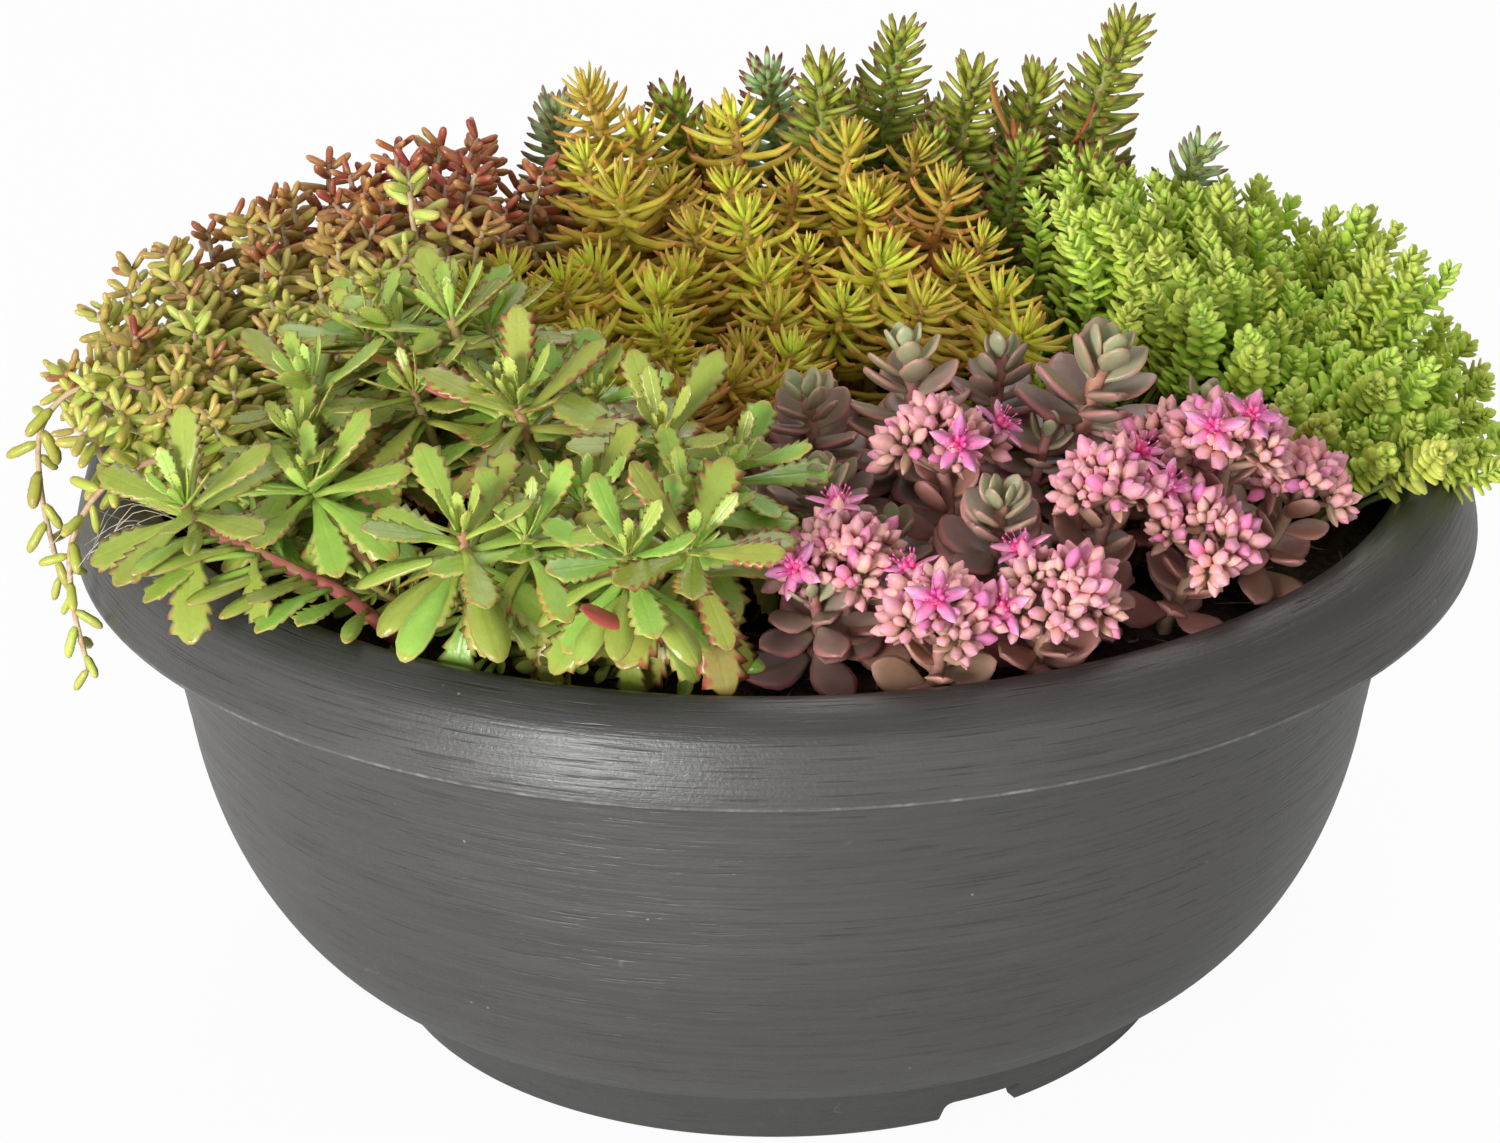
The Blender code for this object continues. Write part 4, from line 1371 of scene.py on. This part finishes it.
# %% Spruce leaf and its finish
spruce_shape = Shape(draw_leaf("spruce_leaf", 5, [(0, 2.2, 1.8), (3, 2.8, 2.1), (6.6, 2.6, 2.0),
                                                  (9.0, 1.7, 1.3), (10.2, 0.6, 0.5)]))
spruce_finishes = [
    leaf_finish("spruce_leaf", (0.57, 0.65, 0.09), (0.40, 0.50, 0.06), (0.54, 0.69, 0.38),
                (0.23, 0.05, 0.04), tip_from=0.58, tip_full=0.86, tip_share=1.0, rough=0.34,
                spread=0.03),
    stem_finish("spruce_stem", (0.20, 0.20, 0.06), (0.34, 0.40, 0.09), (0.30, 0.10, 0.06)),
]
print("spruce leaf:", len(spruce_shape.sizes), "faces")


# %% Spruce-leaf spikes
def spruce_spike(bunch, path, rng, size=1.0, count=100, low_leaves=20):
    """A bottle brush of needles, green or, for three in ten, blue-green."""
    bunch.stem(path, thinning(path, 2.4, 2.0) * size, rng.random(), 0.1)
    blue = float(rng.random() < 0.3)
    crown = leaf_places(path, rng, count, (0.5, 1.0), crowd=1.25, rise=(-6, 68), ease=3.2,
                        size=(1.35 * size, 0.6 * size), bend=(1.25, 0.1), off=1.8, taper=1.2)
    bunch.copies(spruce_shape, **crown, blush=chance(rng, blue, 0.1, count))
    lower = leaf_places(path, rng, low_leaves, (0.14, 0.5), rise=(-30, 0), age=(1.0, 1.0),
                        size=(0.8 * size, 1.2 * size), bend=(0.9, 1.2), off=1.8, shake=1.6)
    bunch.copies(spruce_shape, **lower, blush=chance(rng, blue, 0.1, low_leaves))


# %% Plant the spruce-leaf stonecrop
BEHIND_MOSS = ((116, 67, 205), (88, 66, 203))  # two spikes that look out over the moss, in mm

grow("spruce", spruce_spike, spruce_finishes, spread=0.32, sink=6, pull=0.93)
rng = np.random.default_rng(51)
spots = filling("spruce", 22 * MM, rng, lambda x, y: 150 * MM if x > MIDDLE else 0, lower=9 * MM)
spots += [np.array(spot) * MM for spot in BEHIND_MOSS]
fill("spruce_thicket", "spruce", spruce_spike, spruce_finishes, spots, 52, spread=0.3, sink=12,
     pull=0.93, size=0.92, count=74, low_leaves=14)
spots = [near_soil(spot, rng, 14, 26)
         for spot in filling("spruce", 17 * MM, rng, 147 * MM, also=("bean",), clear=0)
         if spot[1] > 105 * MM and -90 * MM < spot[0] < 80 * MM]
fill("spruce_young", "spruce", spruce_spike, spruce_finishes, spots, 53, spread=0.5, sink=1,
     shake=0.25, size=0.85, count=32, low_leaves=6)

# %% [markdown]
# ## Moss-like stonecrop
# The right side is one soft bright mound of hundreds of short columns, each wrapped in small
# overlapping leaves. There are so many leaves that each has only four sides and three sections,
# and the smooth shading rounds them. The light goes far into them, and they are less glossy than
# the other plants' leaves, which makes the mound look soft. It is gathered in three pieces, so
# that none grows too large.

# %% Moss leaf and its finish
moss_shape = Shape(draw_leaf("moss_leaf", 4, [(0, 2.6, 1.4), (2.0, 4.3, 1.6), (3.9, 3.6, 1.3),
                                              (5.2, 1.5, 0.8)]))
moss_finishes = [
    leaf_finish("moss_leaf", (0.68, 0.86, 0.16), (0.66, 0.86, 0.10), (0.76, 0.66, 0.20),
                (0.72, 0.76, 0.20), tip_from=0.75, tip_share=0.4, rough=0.5, spread=0.03,
                glow=0.5),
    stem_finish("moss_stem", (0.26, 0.28, 0.08), (0.42, 0.54, 0.12), (0.42, 0.32, 0.14)),
]
print("moss leaf:", len(moss_shape.sizes), "faces")


# %% Moss-like shoots
def moss_shoot(bunch, path, rng, size=1.0, leaves=34):
    """A short column wrapped in small overlapping leaves."""
    bunch.stem(path, thinning(path, 1.0, 0.8), rng.random(), rng.random() * 0.4, sides=5)
    crown = leaf_places(path, rng, leaves, (0.58, 1.0), turn=math.radians(86), pairs=2,
                        crowd=1.45, rise=(26, 58), ease=3.0, size=(1.08 * size, 0.5 * size),
                        bend=(-0.3, 0.2), off=0.7, taper=2.0, shake=0.7)
    flush = max(rng.normal(-0.22, 0.3), 0.0)
    bunch.copies(moss_shape, **crown, blush=chance(rng, flush, 0.06, leaves))


AROUND, TUFT_RADIUS = 5, 9.5    # shoots round the leading one, and how far out in mm


def moss_tuft(bunch, path, rng):
    """A CAD tuft stands for one leading shoot with five around it."""
    moss_shoot(bunch, path, rng, 1.1)
    for step in range(AROUND):
        turn = step * math.tau / AROUND + rng.normal(0, 0.2)
        tip = path[-1] + np.array([TUFT_RADIUS * math.cos(turn), TUFT_RADIUS * math.sin(turn),
                                   -rng.uniform(1, 5)]) * MM
        moss_shoot(bunch, path_to(tip, way_up("moss", tip, 0.75, rng, 0.22), pull=0.8), rng)


# %% How far the mound reaches
RIGHT = 100 * MM                # right of this the mound spills over the rim


def mound_reach(x, y):
    """Past the rim on the right, most of all level with the middle."""
    if x > RIGHT and abs(y) < 50 * MM:
        return 184 * MM
    return 174 * MM if x > RIGHT and -70 * MM < y < 80 * MM else 154 * MM


def mound_lower(x, y):
    """The mound sinks to the back, to the right and, more steeply, beyond the rim."""
    return (0.9 * max(y - 78 * MM, 0) + min(0.45 * max(x - 108 * MM, 0), 13 * MM)
            + 0.8 * max(x - 162 * MM, 0))


# %% Plant the moss-like stonecrop
grow("moss", moss_tuft, moss_finishes, spread=0.75, sink=5, pull=0.8,
     lower=lambda x, y: 9 * MM if x > RIGHT and y > 60 * MM else 0)
rng = np.random.default_rng(61)
spots = filling("moss", 10.8 * MM, rng, mound_reach, clear=0.95, lower=mound_lower)
low_spots = [near_soil(spot, rng, 20, 32)
             for spot in filling("moss", 14 * MM, rng, 100 * MM, ("golden", "round"), 0)
             if 55 * MM < spot[0] < 88 * MM and -60 * MM < spot[1] < 62 * MM]
fill("moss_foot", "moss", moss_shoot, moss_finishes, low_spots, 66, spread=0.4, sink=2, pull=0.95,
     leaves=24)
PARTS = ("front", "middle", "back")
for index, part in enumerate(PARTS):
    first, last = (step * len(spots) // len(PARTS) for step in (index, index + 1))
    fill("moss_mound_" + part, "moss", moss_shoot, moss_finishes, spots[first:last], 62 + index,
         spread=0.75, sink=4, pull=0.8, shake=0.3)

# %% [markdown]
# ## Round-leaf stonecrop
# At the front right stand short towers of round, thick, dusty purple leaves with pink margins
# and a pale green heart. The leaves stand in crossed pairs, as on the real plant, which golden
# angles would hide. Each leaf is drawn wide and thick, and its middle is sunk a little, because
# light in that hollow is what tells a fleshy leaf from a pebble.

# %% Round leaf and its finish
round_shape = Shape(draw_leaf("round_leaf", 8, [(0, 3.0, 2.0), (1.6, 4.4, 2.4), (4.0, 8.0, 2.7),
                                                (7.0, 10.8, 2.8), (10.0, 11.4, 2.6),
                                                (12.8, 8.8, 2.2), (14.8, 4.8, 1.6),
                                                (15.7, 1.4, 0.7)], fold=0.6))
round_finishes = [
    leaf_finish("round_leaf", (0.44, 0.47, 0.27), (0.34, 0.225, 0.20), (0.44, 0.17, 0.16),
                (0.68, 0.24, 0.24), tip_from=0.86, tip_share=0.5, margin=(0.74, 0.23, 0.23),
                margin_from=0.62, rough=0.36, spread=0.04, young_until=0.4),
    stem_finish("round_stem", (0.36, 0.17, 0.12), (0.52, 0.27, 0.20), (0.54, 0.18, 0.15)),
]
print("round leaf:", len(round_shape.sizes), "faces")


# %% Round-leaf towers
def round_tower(bunch, path, rng, size=1.0, leaves=30):
    """Crossed pairs of round leaves, spread below and closed in the heart."""
    bunch.stem(path, thinning(path, 1.9, 1.4) * size, rng.random(), rng.random())
    crown = leaf_places(path, rng, leaves, (0.32, 1.0), crowd=1.45, turn=math.pi / 2, pairs=2,
                        rise=(-10, 70), ease=2.0, size=(1.12 * size, 0.34 * size),
                        age=(rng.uniform(0.7, 1.0), 0.0), bend=(0.4, 0.3), off=1.2, shake=0.6,
                        taper=1.3)
    bunch.copies(round_shape, **crown, blush=chance(rng, 0.35, 0.25, leaves) * crown["age"])


def sized_tower(share):
    """A tower with larger or smaller leaves than the others."""
    return lambda bunch, path, rng, size: round_tower(bunch, path, rng, size * share)


grow("round", round_tower, round_finishes, sink=3, pull=0.92, size=1.15,
     others={"round_leaf_rosette_03": sized_tower(0.9), "round_leaf_rosette_04": sized_tower(1.3)})
rng = np.random.default_rng(71)
spots = filling("round", 26 * MM, rng, 136 * MM, also=("flower",))
fill("round_leaf_mat", "round", round_tower, round_finishes, spots, 72, sink=14, pull=0.92,
     size=0.95, leaves=16)

# %% [markdown]
# ## Flower heads
# Some towers carry heads of pink buds. A head is a dome of eight small clusters, each with its
# own short stalk and tan bracts, and a few flowers open as five-pointed stars. A bud is drawn
# ten-sided, and every second corner is pressed in, which leaves the five ridges of its petals.

# %% Bud, petal, stamen and bract
def ridged_bud():
    """A bud with five ridges."""
    made = draw_leaf("bud", 10, [(0, 1.4, 1.4), (1.6, 3.4, 3.4), (3.9, 3.1, 3.1),
                                 (5.6, 0.6, 0.6)])
    pick(made, lambda co: co.y > 0.5 * MM and round(math.atan2(co.x, co.z) / (math.pi / 5)) % 2)
    bpy.ops.transform.resize(value=(0.80, 1, 0.80), center_override=(0, 0, 0))
    return Shape(made)


bud_shape = ridged_bud()
petal_shape = Shape(draw_leaf("petal", 4, [(0, 1.7, 0.6), (2.0, 3.1, 0.6), (4.4, 3.2, 0.6),
                                           (6.1, 1.8, 0.5), (7.2, 0.3, 0.3)], fold=0.35))
stamen_shape = Shape(draw_leaf("stamen", 4, [(0, 0.28, 0.28), (4.4, 0.22, 0.22), (4.7, 0.7, 0.7),
                                             (5.2, 0.3, 0.3)]))
bract_shape = Shape(draw_leaf("bract", 6, [(0, 1.2, 1.0), (1.6, 2.9, 1.6), (4.2, 3.6, 1.8),
                                           (6.6, 2.2, 1.3), (8.0, 0.5, 0.4)], fold=0.3))
print("bud:", len(bud_shape.sizes), "faces, petal:", len(petal_shape.sizes))


# %% Bloom finish
def bloom_finish(name, base, middle, tip):
    """Three colours along a bud or petal, tan while it is unripe, with a pale bloom on it."""
    skin = Finish(name, Subsurface_Weight=0.12, Subsurface_Scale=1.2 * MM,
                  Specular_IOR_Level=0.35)
    along, _, unripe = skin.told("blade")
    tint, blush, _ = skin.told("mood")
    cloud = skin.noise(1.6 * MM, 2.0)
    tone = skin.mix(skin.fade(along, 0.05, 0.5), base, middle)
    tone = skin.mix(skin.fade(along, 0.55, 1.0), tone, tip)
    tone = skin.mix(skin.times(unripe, 0.65), tone, (0.56, 0.40, 0.26))
    tone = skin.mix(skin.fade(cloud, 0.45, 0.7, 0.0, 0.3), tone, (0.95, 0.66, 0.68))
    tone = skin.mix(blush, tone, (0.86, 0.20, 0.50))
    return skin.finish(Base_Color=skin.shade(tone, tint, 0.03),
                       Roughness=skin.fade(cloud, 0.3, 0.7, 0.42, 0.54),
                       Normal=skin.bump(cloud, 0.12 * MM))


flower_finishes = [
    leaf_finish("flower_bract", (0.52, 0.36, 0.26), (0.42, 0.25, 0.18), (0.50, 0.21, 0.16),
                (0.66, 0.32, 0.30), tip_from=0.75, tip_share=0.8, margin=(0.60, 0.30, 0.26),
                rough=0.42, spread=0.04),
    stem_finish("flower_stem", (0.38, 0.25, 0.17), (0.48, 0.30, 0.22), (0.52, 0.24, 0.19)),
    bloom_finish("flower_bud", (0.50, 0.37, 0.22), (0.80, 0.40, 0.38), (0.90, 0.34, 0.46)),
    bloom_finish("flower_petal", (0.86, 0.10, 0.36), (0.90, 0.24, 0.52), (0.94, 0.42, 0.66)),
    bloom_finish("flower_heart", (0.80, 0.04, 0.22), (0.90, 0.08, 0.36), (0.86, 0.12, 0.42)),
]
BUDS, PETALS, HEARTS = 2, 3, 4  # places of the last three in that list
print("finishes:", [finish.name for finish in flower_finishes])


# %% An open star
def star(bunch, spot, way, rng):
    """One open flower: five petals, ten stamens and a heart of five points."""
    way = unit(np.asarray(way, float))
    axes = point_along([way], rng)[0]
    side, other = axes[:, 0], axes[:, 2]

    def ring(shape, count, lift, scale, bend, finish, phase=0.0):
        """Copies of one shape round the flower, lifted by so many degrees."""
        turn = np.arange(count) * math.tau / count + phase + rng.normal(0, 0.05, count)
        out = np.cos(turn)[:, None] * side + np.sin(turn)[:, None] * other
        rise = np.radians(lift + rng.normal(0, 4, count))[:, None]
        heads = np.cos(rise) * out + np.sin(rise) * way
        faces = np.cos(rise) * way - np.sin(rise) * out
        frame_of = np.stack([np.cross(heads, faces), heads, faces], axis=2)
        bunch.copies(shape, spot + out * 0.5 * MM, frame_of, np.full(count, scale),
                     np.full(count, bend), age=0.0, tint=rng.random(count), blush=0.0,
                     finish=finish)

    ring(petal_shape, 5, 14, 1.0, -0.15, PETALS)
    ring(stamen_shape, 10, 52, 0.95, 0.2, HEARTS, 0.3)
    ring(bud_shape, 5, 64, 0.5, 0.0, HEARTS, 0.6)


# %% A cluster of buds
def bud_group(bunch, spot, way, rng, count, size):
    """A small dome of buds that all come from one point, with bracts under it."""
    axes = point_along([way], rng)[0]

    def fan(number, first, last):
        """Ways that spread round the group's own, from one angle to another in degrees."""
        spread = np.radians(first + (last - first) * np.sqrt((np.arange(number) + 0.3) / number))
        turn = np.arange(number) * GOLDEN + rng.uniform(0, 6)
        ways = (np.cos(spread)[:, None] * axes[:, 1]
                + np.sin(spread)[:, None] * (np.cos(turn)[:, None] * axes[:, 0]
                                             + np.sin(turn)[:, None] * axes[:, 2]))
        return unit(ways + rng.normal(0, 0.08, ways.shape))

    ways = fan(count, 0, 66)
    spots = spot + ways * (2.6 + 1.6 * rng.random(count))[:, None] * MM * size
    ripe = rng.uniform(0.75, 1.08)
    bunch.copies(bud_shape, spots, point_along(ways, rng),
                 size * np.clip(rng.normal(ripe, 0.15, count), 0.5, 1.3), np.zeros(count),
                 age=chance(rng, 1.9 - 1.9 * ripe, 0.2, count),
                 tint=rng.random(count), finish=BUDS,
                 blush=np.where(rng.random(count) < 0.2, rng.uniform(0.3, 0.9, count), 0.0))
    ways = fan(5, 60, 95)
    bunch.copies(bract_shape, np.repeat(spot[None], 5, 0), point_along(ways, rng),
                 size * rng.uniform(0.7, 1.0, 5), np.full(5, 0.3), age=0.6, tint=rng.random(5),
                 blush=rng.random(5) * 0.7)


# %% A flower head
def flower_head(bunch, path, rng, size=1.0, stars=2, arms=8):
    """A leafy stem with a dome of bud clusters, some of which carry an open star."""
    base, ahead = path[-1], unit(path[-1] - path[-2])
    bunch.stem(path, thinning(path, 1.9, 1.6), rng.random(), rng.random())
    crown = leaf_places(path, rng, 12, (0.35, 1.0), rise=(0, 40), size=(0.9, 0.6),
                        age=(1.0, 0.6), bend=(0.3, 0.5), off=1.2, shake=1.3)
    bunch.copies(round_shape, **crown, blush=rng.random(12) * 0.8)
    axes = point_along([ahead], rng)[0]
    open_arms = rng.choice(np.arange(1, arms), stars, replace=False)
    for arm in range(arms):
        tilt, turn = math.radians(72) * math.sqrt(arm / (arms - 0.5)), arm * GOLDEN
        way = (math.cos(tilt) * axes[:, 1] + math.sin(tilt)
               * (math.cos(turn) * axes[:, 0] + math.sin(turn) * axes[:, 2]))
        joint = base + way * rng.uniform(8.5, 11) * MM * size
        bunch.stem(np.array([base, (base + joint) / 2, joint]), np.array([1.2, 1.0, 0.9]) * MM,
                   rng.random(), 0.5, sides=5)
        outward = unit(way + np.array([0, -0.1, 0.3]))
        bud_group(bunch, joint, outward, rng, int(rng.integers(12, 17)), size)
        if arm in open_arms:
            star(bunch, joint + outward * 7.0 * MM * size, outward + np.array([0, -0.4, 0.1]), rng)


# %% Plant the flower heads
BETWEEN = ((128, -74, 170), (100, -106, 170), (94, -58, 174))  # tops of three smaller heads, mm

grow("flower", flower_head, flower_finishes, spread=0.25, sink=19, pull=0.93)
spots = [np.array(spot) * MM for spot in BETWEEN]
fill("flower_heads_between", "flower", flower_head, flower_finishes, spots, 82, spread=0.25,
     sink=15, pull=0.93, size=0.95, stars=0, arms=6)

# %% [markdown]
# ## Old leaves
# A few leaves turn bright red before they fall. Each is seen alone, so chance doesn't place
# them: they stand in a list, one by one, and borrow the plain leaf in a finish of their own.

# %% Old leaves
OLD_LEAVES = [                  # place in mm, way it points, size and width
    ((-28, -155, 161), (-0.9, -0.3, 0.3), 0.72, 1.1),
    ((-68, -112, 178), (0.5, -0.7, -0.2), 0.7, 1.0),
    ((-72, -76, 183), (-0.8, 0.5, 0.3), 0.8, 0.9),
    ((-88, -50, 184), (-0.7, -0.5, 0.3), 0.6, 1.0),
    ((-92, -30, 172), (0.5, -0.8, 0.2), 0.5, 1.0),
    ((62, 82, 194), (-0.5, -0.2, 1.0), 0.7, 0.6),
    ((64, 80, 188), (-0.2, -0.5, 0.9), 0.6, 0.5),
    ((78, 82, 192), (0.6, -0.4, 0.8), 0.6, 0.6),
    ((-14, 84, 194), (0.4, -0.4, 0.9), 0.55, 0.35),
    ((-20, 80, 190), (-0.3, -0.5, 0.8), 0.5, 0.4),
]
old_finish = leaf_finish("old_leaf", (0.64, 0.20, 0.10), (0.60, 0.13, 0.08), (0.62, 0.34, 0.10),
                         (0.34, 0.08, 0.04), tip_from=0.7, tip_share=0.8, spread=0.05)
rng = np.random.default_rng(95)
bunch = Bunch()
spots, ways, sizes, widths = (np.array(column) for column in zip(*OLD_LEAVES))
count = len(OLD_LEAVES)
bunch.copies(plain_shape, spots * MM, face_up(ways, light=(0.0, -0.4, 1.0)), sizes,
             rng.uniform(0.1, 0.6, count), wide=widths, age=0.8, tint=rng.random(count),
             blush=rng.random(count) * 0.6)
bunch.make("old_leaves", "toothed", [old_finish])
print(count, "old leaves")

# %% [markdown]
# ## Crumbs and fibres
# Bits of bark and pale fibres lie on the compost where it shows, and a few fine roots hang over
# the rim under the trailing stems. A crumb is one small lump that is copied and turned by chance.
# Fibres and roots are thin four-sided stems, laid along short curves.

# %% Crumbs
crumb_shape = Shape(draw_leaf("crumb", 5, [(0, 1.4, 1.0), (0.8, 2.4, 1.7), (1.9, 1.9, 1.3),
                                           (2.5, 0.7, 0.6)]))
CRUMBS, FIBRES, ROOTS = 750, 160, 9


def scatter_crumbs(bunch, rng):
    """Lay crumbs evenly over the bed."""
    far, turn = BED_RADIUS * np.sqrt(rng.random(CRUMBS)), rng.uniform(0, math.tau, CRUMBS)
    spots = np.stack([far * np.cos(turn), far * np.sin(turn),
                      SOIL + rng.uniform(-0.6, 1.6, CRUMBS) * MM], axis=1)
    ways = rng.normal(size=(CRUMBS, 3)) * (1, 1, 0.3)
    bunch.copies(crumb_shape, spots, point_along(ways, rng), rng.uniform(0.4, 1.5, CRUMBS),
                 np.zeros(CRUMBS), age=1.0, tint=rng.random(CRUMBS), blush=rng.random(CRUMBS))


print("crumb:", len(crumb_shape.sizes), "faces")


# %% Fibres and fine roots
def scatter_fibres(bunch, rng):
    """Lay short curved fibres on the bed."""
    for _ in range(FIBRES):
        far, turn = BED_RADIUS * math.sqrt(rng.random()) * 0.99, rng.uniform(0, math.tau)
        here = np.array([far * math.cos(turn), far * math.sin(turn), SOIL + 1.5 * MM])
        way, bent = unit(rng.normal(size=(2, 3)) * (1, 1, 0.2))
        part = np.linspace(0, 1, 6)[:, None]
        reach = rng.uniform(6, 18) * MM
        path = here + way * part * reach + bent * part ** 2 * reach * 0.5
        path[:, 2] = np.clip(path[:, 2], SOIL + 0.4 * MM, None)
        bunch.stem(path, rng.uniform(0.12, 0.3) * MM, rng.random(), rng.random(), sides=4)


ROOTS_FROM = (-141, -52, 144.5)  # where the fine roots leave the bowl, in mm
ROOTS_OVER = ((0, 0, 0), (-7, -3, 4), (-16, -6, 3.5), (-24, -9, -5))  # and how they go on


def hang_roots(bunch, rng):
    """Fine roots that hang over the rim at the left."""
    for _ in range(ROOTS):
        start_at = np.array(ROOTS_FROM) + rng.normal(0, 4, 3) * (1, 1.5, 0.1)
        points = [start_at + step + rng.normal(0, 1.5, 3) for step in ROOTS_OVER]
        bunch.stem(smooth_route(np.array(points) * MM, 10), 0.13 * MM, 0.9, 0.1, sides=4, finish=2)


rng = np.random.default_rng(91)
bunch = Bunch()
for lay in (scatter_crumbs, scatter_fibres, hang_roots):
    lay(bunch, rng)
fibre = stem_finish("root_fibre", (0.20, 0.13, 0.08), (0.26, 0.18, 0.11), (0.10, 0.06, 0.03))
hair = stem_finish("root_hair", (0.50, 0.42, 0.34), (0.60, 0.50, 0.42), (0.40, 0.30, 0.22))
loose = bunch.make("crumbs_and_fibres", "compost", [peat_finish, fibre, hair])
print("crumbs, fibres and roots:", len(loose.data.polygons), "faces")

# %% [markdown]
# ## The dressed size
# The box of the dressed model is printed in millimetres.

# %% Sizes and finish
low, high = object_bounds()
print("dressed box in mm:", [round(v / MM) for v in (*low, *high)])
